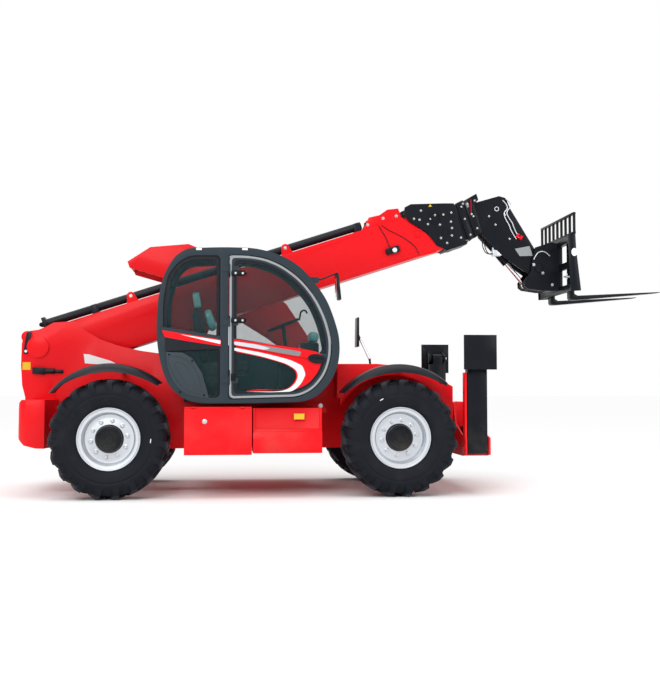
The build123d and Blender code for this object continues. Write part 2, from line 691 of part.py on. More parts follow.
cab_inner = shrink(cab_outline, 60)
door_outline = [
    (-1397, 2564), (-1180, 2561), (-1021, 2537), (-841, 2465), (-649, 2328), (-489, 2138), (-372, 1904),
    (-313, 1671), (-318, 1479), (-382, 1288), (-510, 1140), (-668, 1066), (-1397, 1046),
]
hinge_x = -1393
hinge_heights = (1240, 1850, 2420)
rear_pane = [(-2082, 1700), (-2085, 2081), (-2036, 2344), (-1933, 2482), (-1809, 2553), (-1490, 2560), (-1490, 1640)]
low_pane = [(-2050, 1560), (-1490, 1590), (-1490, 1060), (-1690, 1060), (-1830, 1090), (-1960, 1200), (-2035, 1360)]
far_pane = [
    (-2050, 1720), (-2050, 2100), (-1960, 2430), (-1830, 2540), (-1400, 2560), (-1127, 2550), (-800, 2440),
    (-500, 2130), (-380, 1850), (-330, 1600), (-420, 1500), (-1000, 1600),
]
screen_cut = [(-720, 2700), (-300, 2400), (-100, 1800), (-200, 1480), (-400, 1480), (-480, 2100), (-720, 2420)]
roof_cut = [(-1500, 2700), (-860, 2700), (-860, 2500), (-1500, 2500)]
back_cut = [(-2200, 1750), (-2200, 2300), (-2000, 2300), (-2000, 1750)]
screen_span = (cab_out + 70, cab_in - 50)
roof_span = (cab_out + 90, cab_in - 70)
back_span = (cab_out + 80, cab_in - 60)
seat_gap = 0.3
cab_soft = 80
pane_soft = 50
with BuildPart() as cab_frame:
    slab(cab_outline, cab_out, cab_in, soft=cab_soft)
    slab(cab_inner, cab_out + 60, cab_in - 40, mode=Mode.SUBTRACT, soft=cab_soft)
    # doorway and side windows
    slab(shrink(door_outline, -6), cab_out - 5, cab_out + 70, mode=Mode.SUBTRACT, soft=pane_soft)
    slab(rear_pane, cab_out - 5, cab_out + 70, mode=Mode.SUBTRACT, soft=pane_soft)
    slab(low_pane, cab_out - 5, cab_out + 70, mode=Mode.SUBTRACT, soft=pane_soft)
    # window toward the boom
    slab(far_pane, cab_in - 45, cab_in + 5, mode=Mode.SUBTRACT, soft=pane_soft)
    # windscreen, roof window and rear window
    slab(screen_cut, screen_span[0], screen_span[1], mode=Mode.SUBTRACT)
    slab(roof_cut, roof_span[0], roof_span[1], mode=Mode.SUBTRACT)
    slab(back_cut, back_span[0], back_span[1], mode=Mode.SUBTRACT)
    block((-1900, -700), (cab_in - 20, -rail_out - seat_gap), (1010, 1060))
    for z in hinge_heights:
        block((-1470, hinge_x - 10), (cab_out - 8, cab_out), (z - 30, z + 30))
    slab([(-530, 2345), (-440, 2345), (-440, 2290), (-500, 2270)], cab_out + 40, cab_out + 100)
save(cab_frame, "cab_frame")


# panes seat a hair inside their openings
def curved_pane(cut, span):
    with BuildPart() as pane:
        slab(shrink(cab_outline, 14), span[0] + seat_gap, span[1] - seat_gap, soft=cab_soft)
        slab(shrink(cab_outline, 20), span[0], span[1], mode=Mode.SUBTRACT, soft=cab_soft)
        slab(shrink(cut, seat_gap), span[0], span[1], mode=Mode.INTERSECT)
    return pane.part


with BuildPart() as cab_glass:
    slab(shrink(rear_pane, seat_gap), cab_out + 30, cab_out + 36, soft=pane_soft)
    slab(shrink(low_pane, seat_gap), cab_out + 30, cab_out + 36, soft=pane_soft)
    slab(shrink(far_pane, seat_gap), cab_in - 20, cab_in - 14, soft=pane_soft)
    add(curved_pane(screen_cut, screen_span))
    add(curved_pane(roof_cut, roof_span))
    add(curved_pane(back_cut, back_span))
save(cab_glass, "cab_glass")

# door: ring frame with waist rail, glass above and below
with BuildPart() as door_frame:
    door_edge = shrink(door_outline, 2)
    slab(door_edge, cab_out + 8, cab_out + 45, soft=pane_soft)
    slab(shrink(door_outline, 50), cab_out, cab_out + 60, mode=Mode.SUBTRACT, soft=pane_soft)
    slab([(-1360, 1690), (-350, 1520), (-350, 1440), (-480, 1460), (-1360, 1610)], cab_out + 8, cab_out + 40)
    for z in hinge_heights:
        tube((hinge_x, cab_out + 1, z - 45), (hinge_x, cab_out + 1, z + 45), 9.7)
        block((hinge_x, hinge_x + 95), (cab_out, cab_out + 8.5), (z - 30, z + 30))
save(door_frame, "door_frame")

with BuildPart() as door_glass:
    slab(shrink(door_outline, 50.3), cab_out + 24, cab_out + 29, soft=pane_soft)
    slab([(-1365, 1691.2), (-340, 1521), (-340, 1438), (-480, 1459.7), (-1365, 1609.8)], cab_out + 20, cab_out + 34,
         mode=Mode.SUBTRACT)
save(door_glass, "door_glass")

# grey moulded corner panel
with BuildPart() as corner_panel:
    slab([(-2110, 1540), (-1874, 1530), (-1770, 1465), (-1676, 1318), (-1600, 1050), (-1690, 1000), (-1830, 1000),
          (-1960, 1100), (-2110, 1360)], cab_out - 4, cab_out + 29.7)
    slab(shrink(low_pane, seat_gap), cab_out - 10, cab_out + 40, mode=Mode.INTERSECT, soft=pane_soft)
save(corner_panel, "corner_panel")

# cab inside: floor, seat, console with steering wheel
with BuildPart() as cab_floor:
    slab([(-1900, 1050), (-600, 1050), (-600, 1090), (-1700, 1090), (-1700, 1350), (-2060, 1350), (-2060, 1100)],
         cab_out + 60 + seat_gap, cab_in - 40 - seat_gap)
    slab(shrink(cab_outline, 60 + seat_gap), cab_out + 60, cab_in - 40, mode=Mode.INTERSECT, soft=cab_soft)
save(cab_floor, "cab_floor")

with BuildPart() as seat:
    block((-1680, -1380), (-950, -560), (1090.3, 1310))
    slab([(-1695, 1300), (-1180, 1330), (-1180, 1450), (-1695, 1430)], -1000, -510)
    slab([(-1690, 1420), (-1590, 1420), (-1700, 2000), (-1800, 2000)], -990, -520)
    slab([(-1745, 2030), (-1700, 2010), (-1720, 2210), (-1790, 2210)], -880, -630)
    slab([(-1790, 1990), (-1700, 1990), (-1700, 2040), (-1780, 2040)], -820, -690)
save(seat, "seat")

with BuildPart() as steering_ring:
    with BuildSketch(Plane.XZ) as ring_section:
        with Locations((185, 0)):
            RegularPolygon(14, 6)
    revolve(ring_section.sketch, Axis.Z)

with BuildPart() as console:
    slab([(-860, 1090.3), (-650, 1090.3), (-660, 1500), (-760, 1620), (-850, 1600)], -860, -650)
    tube((-770, -755, 1560), (-800, -755, 1840), 22)
    wheel_plane = Plane(origin=(place_x(-804), -755, 1850), z_dir=(-0.38, 0, 0.925))
    add(steering_ring.part.moved(wheel_plane.location))
    with Locations(wheel_plane):
        Cylinder(40, 30)
        Box(350, 26, 12)
        Box(26, 350, 12)
save(console, "console")

# toolbox and access steps under the cab
box_face = cab_out + 10
lid_hinge = (cab_out + 1, 956)
with BuildPart() as toolbox:
    block((-1858, -1152), (box_face, -700), (460, 952))
    block((-1846, -1164), (box_face - 12, -712), (472, 940), Mode.SUBTRACT)
    block((-1800, -1200), (-700.5, -rail_out - seat_gap), (800, 860))
    for x in (-1780, -1270):
        block((x, x + 40), (box_face - 4, box_face + 12), (lid_hinge[1] - 14, lid_hinge[1] + 8))
        tube((x, *lid_hinge), (x + 40, *lid_hinge), 10)
        tube((x - 5, *lid_hinge), (x + 45, *lid_hinge), 5.5, Mode.SUBTRACT)
save(toolbox, "toolbox")

with BuildPart() as toolbox_lid:
    block((-1858, -1152), (cab_out, box_face - seat_gap), (462, 950))
    tube((-1856, *lid_hinge), (-1154, *lid_hinge), 8)
    for x in (-1780, -1270):
        block((x - 2, x + 42), (cab_out - 20, box_face + 20), (940, 990), Mode.SUBTRACT)
        tube((x - 3, *lid_hinge), (x + 43, *lid_hinge), 5)
save(toolbox_lid, "toolbox_lid")

with BuildPart() as access_step:
    slab([(-1190, 475), (-1190, 700), (-1150, 700), (-1150, 730), (-1130, 950), (-700, 950), (-700, 475)],
         -1140, -409, front)
    slab([(-1178, 490), (-1178, 690), (-712, 690), (-712, 490)], -1128, -421, front, Mode.SUBTRACT)
    block((-1120, -430), (-1200, -1110), (730, 960), Mode.SUBTRACT)
    block((-1100, -450), (-700.5, -rail_out - seat_gap), (800, 860))
save(access_step, "access_step")

# engine side: bay, engine, hood standing open
with BuildPart() as engine_bay:
    block((-1850, -330), (rail_out + 0.5, 1190), (470, 490))
    block((-1850, -330), (1176, 1190), (470, 1380))
    block((-1850, -1835), (rail_out + 0.5, 1190), (470, 1380))
    block((-345, -330), (rail_out + 0.5, 1190), (470, 1380))
    block((-1700, -500), (1170, 1200), (800, 1250), Mode.SUBTRACT)
    for y in (400, 1090):
        slab([(-345, 1370), (-285, 1370), (-268, 1450), (-280, 1482), (-320, 1482), (-345, 1440)], y, y + 20)
        block((-345, -300), (y, y + 20), (1300, 1380))
    cross_pin(place_x(hood_pin[0]), hood_pin[1], 395, 1115, 16.3, Mode.SUBTRACT)
    for i in range(11):
        z = 810 + i * 42
        block((-1705, -495), (1180, 1186), (z, z + 12))
save(engine_bay, "engine_bay")

with BuildPart() as engine_block:
    block((-1500, -700), (480, 900), (560, 1180))
    block((-1420, -780), (520, 860), (1180, 1320))
    block((-650, -560), (380, 1120), (540, 1330))
    tube((-1560, 690, 800), (-1500, 690, 800), 200)
    # air cleaner on its stays, belt pulleys, cooling ribs
    tube((-1380, 1010, 1050), (-930, 1010, 1050), 85)
    for x in (-1300, -1010):
        block((x, x + 30), (880, 960), (960, 1060))
    tube((-701, 690, 700), (-668, 690, 700), 110)
    tube((-701, 600, 1000), (-668, 600, 1000), 70)
    for i in range(7):
        x = -1420 + i * 100
        block((x, x + 18), (895, 930), (620, 900))
    block((-1450, -1350), (rail_out + 0.5, 480), (700, 760))
    block((-850, -750), (rail_out + 0.5, 480), (700, 760))
    block((-650, -610), (rail_out + 0.5, 380), (700, 760))
save(engine_block, "engine_block")

hood_outline = [(-2609, 2678), (-2341, 2857), (-1884, 2901), (-1300, 2660), (-700, 2180), (-280, 1560),
                (-270, 1450), (-430, 1450), (-900, 1800), (-1500, 2170), (-2005, 2440), (-2584, 2604)]
with BuildPart() as engine_hood:
    slab(hood_outline, 360, 1150)
    slab([(-2560, 2670), (-2325, 2830), (-1890, 2878), (-1312, 2640), (-716, 2165), (-330, 1600), (-330, 1500),
          (-200, 1500), (-200, 1400), (-900, 1400), (-2005, 2300), (-2700, 2500)], 374, 1136, mode=Mode.SUBTRACT)
    cross_pin(place_x(hood_pin[0]), hood_pin[1], 360, 1150, 16)
save(engine_hood, "engine_hood")

# mirrors and lamps
with BuildPart() as mirrors:
    tube((-436.2, -1130, 2317), (-240, -1130, 2395), 9)
    tube((-240, -1130, 2395), (-225, -1130, 2330), 9)
    slab([(-262, 2376), (-232, 2366), (-205, 2107), (-235, 2110)], -1195, -1020)
    block((330, 384), (535, 585), (1429, 1445))
    bar((357, 560, 1444), (357, 620, 1530), 14)
    bar((357, 612, 1520), (248, 940, 1860), 14)
    slab([(232, 2062), (255, 2062), (255, 1689), (225, 1689)], 830, 1060)
save(mirrors, "mirrors")

with BuildPart() as lamps:
    for sign in (-1, 1):
        span = mirrored(sign, rail_out + 0.5, rail_out + 40)
        slab([(-3575, 1395), (-3440, 1390), (-3425, 1350), (-3440, 1310), (-3575, 1320)], span[0], span[1])
        head = mirrored(sign, 400, 560)
        block((1435.3, 1470), head, (700, 780))
save(lamps, "lamps")

with BuildPart() as boom_lamp:
    with Locations(boom_face(-boom_half - 0.5)):
        with Locations((4200, -150)):
            Box(170, 75, 45, align=(Align.CENTER, Align.CENTER, Align.MIN))
save(boom_lamp, "boom_lamp")
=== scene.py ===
import bpy
import bmesh
import json
import math
import numpy as np
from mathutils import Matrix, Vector


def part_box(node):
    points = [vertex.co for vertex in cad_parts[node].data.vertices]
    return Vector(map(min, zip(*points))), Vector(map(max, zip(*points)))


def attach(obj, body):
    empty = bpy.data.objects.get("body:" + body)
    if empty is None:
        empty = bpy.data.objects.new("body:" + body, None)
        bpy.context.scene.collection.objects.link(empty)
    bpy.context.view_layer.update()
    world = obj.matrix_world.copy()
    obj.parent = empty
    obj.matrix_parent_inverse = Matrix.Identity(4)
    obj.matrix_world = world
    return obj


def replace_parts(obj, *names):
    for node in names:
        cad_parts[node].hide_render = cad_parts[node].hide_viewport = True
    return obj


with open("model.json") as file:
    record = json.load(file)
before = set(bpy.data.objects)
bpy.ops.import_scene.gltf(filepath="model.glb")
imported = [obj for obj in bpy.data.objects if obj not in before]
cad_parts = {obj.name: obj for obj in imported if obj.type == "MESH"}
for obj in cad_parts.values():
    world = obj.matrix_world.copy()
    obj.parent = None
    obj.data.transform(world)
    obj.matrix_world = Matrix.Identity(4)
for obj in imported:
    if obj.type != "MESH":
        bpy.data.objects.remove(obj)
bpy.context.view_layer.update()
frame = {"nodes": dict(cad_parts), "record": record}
nodes = frame["nodes"]
behaviour = frame["record"]["behaviour"]
bodyOf = {node: body for body, held in behaviour["bodies"].items() for node in held}
slotOf = {part["node"]: part["material_slot"] for part in frame["record"]["subparts"]}
pivotOf = {joint["name"]: joint.get("pos_m") for joint in behaviour["joints"]}
wheelNames = [end + "_" + side for end in ("front", "rear") for side in ("right", "left")]
scene = bpy.context.scene
looks = {}
print("stage: frame loaded")


def addObject(name, data):
    obj = bpy.data.objects.new(name, data)
    scene.collection.objects.link(obj)
    return obj


def middleOf(node):
    low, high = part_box(node)
    return (np.array(low) + np.array(high)) / 2


def joining(kind, swap=False):
    return lambda self, other: self.math(kind, other, swap)


# a socket that takes part in Python sums, each of which adds a Math node
class Sock:
    def __init__(self, shader, socket):
        self.shader = shader
        self.socket = socket

    def math(self, kind, other=None, swap=False):
        pair = (other, self) if swap else (self, other)
        values = {i: v for i, v in enumerate(pair) if v is not None}
        return self.shader.make("ShaderNodeMath", {"operation": kind}, values)

    __add__ = __radd__ = joining("ADD")
    __mul__ = __rmul__ = joining("MULTIPLY")
    __sub__ = joining("SUBTRACT")
    __rsub__ = joining("SUBTRACT", True)
    __pow__ = joining("POWER")
    __gt__ = joining("GREATER_THAN")
    __lt__ = joining("LESS_THAN")

    # a smooth step from 0 at low to 1 at high
    def ramp(self, low, high):
        settings = {"clamp": True, "interpolation_type": "SMOOTHSTEP"}
        return self.shader.make("ShaderNodeMapRange", settings, {0: self, 1: low, 2: high, 3: 0.0, 4: 1.0})


class Shader:
    def __init__(self, name):
        self.name = name
        self.material = bpy.data.materials.new(name)
        self.material.use_nodes = True
        self.tree = self.material.node_tree
        self.surface = self.tree.nodes["Principled BSDF"]
        self.place = self.make("ShaderNodeTexCoord", {}, {}, "Object")

    def make(self, kind, settings, values, output=0):
        node = self.tree.nodes.new(kind)
        for key, value in settings.items():
            setattr(node, key, value)
        for key, value in values.items():
            self.feed(node.inputs[key], value)
        return Sock(self, node.outputs[output])

    def feed(self, socket, value):
        if isinstance(value, Sock):
            self.tree.links.new(value.socket, socket)
        elif isinstance(value, tuple) and socket.type == "RGBA":
            socket.default_value = (*value, 1.0)
        else:
            socket.default_value = value

    def noise(self, scale, detail=3.0, rough=0.5, place=None):
        values = {"Vector": place or self.place, "Scale": scale, "Detail": detail, "Roughness": rough}
        return self.make("ShaderNodeTexNoise", {}, values)

    def wave(self, direction, scale):
        values = {"Vector": self.place, "Scale": scale}
        return self.make("ShaderNodeTexWave", {"bands_direction": direction}, values)

    def axis(self, name):
        return self.make("ShaderNodeSeparateXYZ", {}, {0: self.place}, name)

    def stretch(self, factors):
        return self.make("ShaderNodeVectorMath", {"operation": "MULTIPLY"}, {0: self.place, 1: factors})

    def blend(self, factor, first, second):
        return self.make("ShaderNodeMix", {"data_type": "RGBA"}, {0: factor, 6: first, 7: second}, 2)

    def bump(self, height, strength, distance):
        values = {"Height": height, "Strength": strength, "Distance": distance}
        return self.make("ShaderNodeBump", {}, values)

    # fills the surface's inputs and keeps the look by its name
    def set(self, **values):
        for key, value in values.items():
            self.feed(self.surface.inputs[key.replace("_", " ")], value)
        looks[self.name] = self.material


def tint(colour, factor):
    return tuple(min(1.0, c * factor) for c in colour)


# the boom's own axes: u runs along it and w square to it, both from the tower pivot
boomPlan = dict(angle=18.1, headStart=4.44, boxTop=0.1875, boxUnder=-0.315, boxHalf=0.1705)
pivot = pivotOf["boom_lift"]
boomTurn = math.radians(boomPlan["angle"])
boomCos, boomSin = math.cos(boomTurn), math.sin(boomTurn)
pivotAlong = pivot[0] * boomCos + pivot[2] * boomSin
pivotSquare = pivot[2] * boomCos - pivot[0] * boomSin

paintStyles = {
    "redPaint": dict(colour=(0.78, 0.006, 0.011), rough=0.36, coat=0.06, peel=0.0004, fade=0.12),
    "blackPaint": dict(colour=(0.0045, 0.006, 0.0095), rough=0.34, coat=0.03, peel=0.0005, fade=0.3),
    "greyPaint": dict(colour=(0.026, 0.037, 0.047), rough=0.48, coat=0.0, peel=0.0004, fade=0.15),
    "silverPaint": dict(colour=(0.58, 0.61, 0.65), rough=0.36, coat=0.1, peel=0.0005, fade=0.15,
                        metallic=0.75),
    "sealGrey": dict(colour=(0.3, 0.32, 0.33), rough=0.6, coat=0.0, peel=0.0003, fade=0.1),
    "whiteDecal": dict(colour=(0.8, 0.8, 0.82), rough=0.4, coat=0.1, peel=0.0002, fade=0.05),
    "greyDecal": dict(colour=(0.22, 0.23, 0.24), rough=0.45, coat=0.1, peel=0.0002, fade=0.3),
    "yellowPlate": dict(colour=(0.72, 0.47, 0.03), rough=0.45, coat=0.1, peel=0.0002, fade=0.1),
    "tealWrap": dict(colour=(0.16, 0.42, 0.42), rough=0.22, coat=0.4, peel=0.001, fade=0.45),
}
dustPlan = dict(floor=0.25, top=1.15, patches=(0.42, 0.75), amount=0.16, colour=(0.34, 0.3, 0.25))


# what stands outside the boom's box section past its head's start: 1 there, 0 elsewhere
def headMask(s):
    along = s.axis("X") * boomCos + s.axis("Z") * boomSin
    square = s.axis("Z") * boomCos - s.axis("X") * boomSin
    aside = s.axis("Y").math("ABSOLUTE") > boomPlan["boxHalf"]
    over = square > pivotSquare + boomPlan["boxTop"]
    under = square < pivotSquare + boomPlan["boxUnder"]
    return (along > pivotAlong + boomPlan["headStart"]) * aside.math("MAXIMUM", over).math("MAXIMUM", under)


# a slow cloud shades the colour, and dust settles low down in patches
def paint(name, colour, rough, coat, peel, fade, metallic=0.0, blackHead=False):
    s = Shader(name)
    cloud = s.noise(1.7, 4.0, 0.6)
    fine = s.noise(38.0, 2.0, 0.5)
    low = 1.0 - s.axis("Z").ramp(dustPlan["floor"], dustPlan["top"])
    dust = low * cloud.ramp(*dustPlan["patches"]) * dustPlan["amount"]
    shade = s.blend(cloud.ramp(0.3, 0.7) * fade, colour, tint(colour, 0.72))
    if blackHead:
        shade = s.blend(headMask(s), shade, paintStyles["blackPaint"]["colour"])
    s.set(Base_Color=s.blend(dust, shade, dustPlan["colour"]),
          Roughness=rough + cloud * 0.1 + dust * 0.8 + fine * 0.04 - 0.06,
          Coat_Weight=coat, Coat_Roughness=0.12, Specular_IOR_Level=0.11, Metallic=metallic,
          Normal=s.bump(s.noise(420.0, 2.0), 0.12, peel))


# moulded plastic: a pebbled grain under a slow cloud
def plastic(name, colour, rough, grain, depth):
    s = Shader(name)
    cloud = s.noise(3.0, 4.0, 0.6)
    pebble = s.make("ShaderNodeTexVoronoi", {}, {"Vector": s.place, "Scale": grain})
    s.set(Base_Color=s.blend(cloud.ramp(0.35, 0.75) * 0.5, colour, tint(colour, 1.5)),
          Roughness=rough + cloud * 0.12 - 0.05, Specular_IOR_Level=0.17,
          Normal=s.bump(pebble, 0.35, depth))


# bare metal: noise drawn out along the brushing
def metal(name, colour, rough, metallic, brush):
    s = Shader(name)
    streak = s.noise(9.0, 3.0, 0.6, s.stretch(brush))
    s.set(Base_Color=s.blend(streak.ramp(0.3, 0.7) * 0.4, colour, tint(colour, 0.75)),
          Roughness=rough + streak * 0.15, Metallic=metallic, Normal=s.bump(streak, 0.1, 0.0005))


# rubber tones: clean and dusty, then the pale colour of the painted highlight on the lug tops
rubberPlan = dict(clean=(0.006, 0.0075, 0.0115), dusty=(0.022, 0.024, 0.028), lugTopHighlight=(0.045, 0.05, 0.06),
                  lugFoot=0.575, lugTop=0.622)


# lug tops get a painted highlight, paler by the distance from the nearer wheel axis
def rubber(name):
    s = Shader(name)
    cloud = s.noise(6.0, 5.0, 0.6)
    fine = s.noise(160.0, 3.0, 0.6)
    frontAxis, rearAxis = (middleOf("tyre_" + end + "_right") for end in ("front", "rear"))
    toFront, toRear = ((s.axis("X") - float(at[0])).math("ABSOLUTE") for at in (frontAxis, rearAxis))
    out = (toFront.math("MINIMUM", toRear) ** 2.0 + (s.axis("Z") - float(frontAxis[2])) ** 2.0) ** 0.5
    # the painted highlight: lug tops by their radius, broken up by the cloud
    lugTopHighlight = out.ramp(rubberPlan["lugFoot"], rubberPlan["lugTop"]) * (0.35 + cloud * 0.5)
    shade = s.blend(cloud.ramp(0.45, 0.8) * 0.35, rubberPlan["clean"], rubberPlan["dusty"])
    s.set(Base_Color=s.blend(lugTopHighlight, shade, rubberPlan["lugTopHighlight"]), Roughness=0.5 + cloud * 0.15,
          Specular_IOR_Level=0.12, Normal=s.bump(fine, 0.35, 0.0012))


# tinted glass with faint smears
def glass(name, colour, alpha):
    s = Shader(name)
    smear = s.noise(2.2, 4.0, 0.6)
    s.material.surface_render_method = "BLENDED"
    s.set(Base_Color=s.blend(smear.ramp(0.3, 0.8) * 0.3, colour, tint(colour, 1.6)),
          Roughness=0.03 + smear * 0.04, Alpha=alpha + smear * 0.06, IOR=1.45, Specular_IOR_Level=0.5)


# a ribbed lamp glass
def lens(name, dark, light):
    s = Shader(name)
    ribs = s.wave("X", 60.0)
    s.set(Base_Color=s.blend(ribs, dark, light), Roughness=0.12, Coat_Weight=0.8,
          Normal=s.bump(ribs, 0.3, 0.001))


# two crossed waves make the weave
def fabric(name, dark, light):
    s = Shader(name)
    weave = s.wave("X", 160.0) * s.wave("Z", 160.0)
    s.set(Base_Color=s.blend(weave, dark, light), Roughness=0.85 + weave * 0.1,
          Normal=s.bump(weave, 0.5, 0.001))


for name, style in paintStyles.items():
    paint(name, **style)
paint("boomPaint", **paintStyles["redPaint"], blackHead=True)
plastic("blackPlastic", (0.007, 0.009, 0.013), 0.34, 500.0, 0.0004)
plastic("mouldedGrey", (0.036, 0.048, 0.058), 0.6, 420.0, 0.0006)
plastic("interiorGrey", (0.03, 0.034, 0.038), 0.7, 300.0, 0.0008)
metal("chromeRod", (0.78, 0.79, 0.8), 0.08, 1.0, (1.0, 40.0, 1.0))
metal("castIron", (0.05, 0.05, 0.052), 0.55, 0.6, (8.0, 8.0, 8.0))
metal("zincBolt", (0.55, 0.55, 0.53), 0.3, 1.0, (20.0, 20.0, 20.0))
metal("mirrorFace", (0.8, 0.82, 0.84), 0.04, 1.0, (2.0, 2.0, 2.0))
rubber("tyreRubber")
glass("tintedGlass", (0.006, 0.04, 0.046), 0.17)
lens("lampLens", (0.62, 0.64, 0.66), (0.85, 0.86, 0.88))
fabric("seatFabric", (0.012, 0.012, 0.014), (0.045, 0.045, 0.05))
print("stage: materials")


def finishMesh(obj, angle=35):
    mesh = obj.data
    mesh.polygons.foreach_set("use_smooth", np.ones(len(mesh.polygons), bool))
    mesh.set_sharp_from_angle(angle=math.radians(angle))
    mesh.update()


def makeObject(name, mesh, look, body):
    obj = addObject(name, mesh)
    mesh.materials.clear()
    mesh.materials.append(looks[look])
    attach(obj, body)
    return obj


# merges the doubles and rounds the edges sharper than the angle, and keeps the result as the mesh
def roundEdges(obj, width, segments, angle):
    weld = obj.modifiers.new("weld", "WELD")
    weld.merge_threshold = 0.0001
    bevel = obj.modifiers.new("round", "BEVEL")
    bevel.width = width
    bevel.segments = segments
    bevel.limit_method = "ANGLE"
    bevel.angle_limit = math.radians(angle)
    bevel.miter_outer = "MITER_ARC"
    bpy.context.view_layer.update()
    shape = bpy.data.meshes.new_from_object(obj.evaluated_get(bpy.context.evaluated_depsgraph_get()))
    obj.modifiers.clear()
    obj.data = shape


# a node's own shape with its edges rounded
def shell(node, look, width):
    mesh = nodes[node].data.copy()
    mesh.name = node + "Shape"
    obj = makeObject(node + "_shell", mesh, look, bodyOf[node])
    roundEdges(obj, width, 2, 32)
    finishMesh(obj, 40)
    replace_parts(obj, node)


# an outline's two numbers and its depth, set upright along X, across the machine, or on the boom's side
def upright(a, depth, b):
    return np.stack([a, depth, b], -1)


def across(a, depth, b):
    return np.stack([depth, a, b], -1)


def onBoom(u, depth, w):
    return np.stack([pivot[0] + u * boomCos - w * boomSin, depth, pivot[2] + u * boomSin + w * boomCos], -1)


# the points of an outline, all at one depth
def spread(outline, depth, place=upright):
    return [place(a, depth, b) for a, b in outline]


# each corner becomes a parabola between a point before it and one after it: sharp corners keep these
# within the reach, shallow ones take what room there is
def softened(outline, reach=0.05, closed=True, steps=6):
    line = np.asarray(outline, float)
    before, after = np.roll(line, 1, 0) - line, np.roll(line, -1, 0) - line
    back, ahead = np.linalg.norm(before, axis=1, keepdims=True), np.linalg.norm(after, axis=1, keepdims=True)
    room = 0.48 * np.minimum(back, ahead)
    straight = -(before / back * (after / ahead)).sum(1, keepdims=True)
    cut = np.where(straight > 0.75, room, np.minimum(room, reach))
    t = np.linspace(0, 1, steps)[None, :, None]
    start, end = line + before / back * cut, line + after / ahead * cut
    arcs = (1 - t) ** 2 * start[:, None] + 2 * t * (1 - t) * line[:, None] + t ** 2 * end[:, None]
    if closed:
        return arcs.reshape(-1, line.shape[1])
    return np.vstack([line[:1], arcs[1:-1].reshape(-1, line.shape[1]), line[-1:]])


# vectors divided by their lengths
def unit(vectors):
    return vectors / np.linalg.norm(vectors, axis=-1, keepdims=True)


# each corner moves inwards along its two sides' normals, so that every side moves by the distance
def shrunk(outline, distance):
    line = np.asarray(outline, float)
    before, after = unit(line - np.roll(line, 1, 0)), unit(np.roll(line, -1, 0) - line)
    middle = np.stack([before[:, 1] + after[:, 1], -before[:, 0] - after[:, 0]], -1)
    return line + middle * (2 * distance / (middle ** 2).sum(1, keepdims=True))


# the centre plus the radii times the cosine and the sine of a full turn
def ellipse(centre, radii, steps=28):
    turn = np.linspace(0, 2 * math.pi, steps, endpoint=False)
    return np.stack([centre[0] + radii[0] * np.cos(turn), centre[1] + radii[1] * np.sin(turn)], -1)


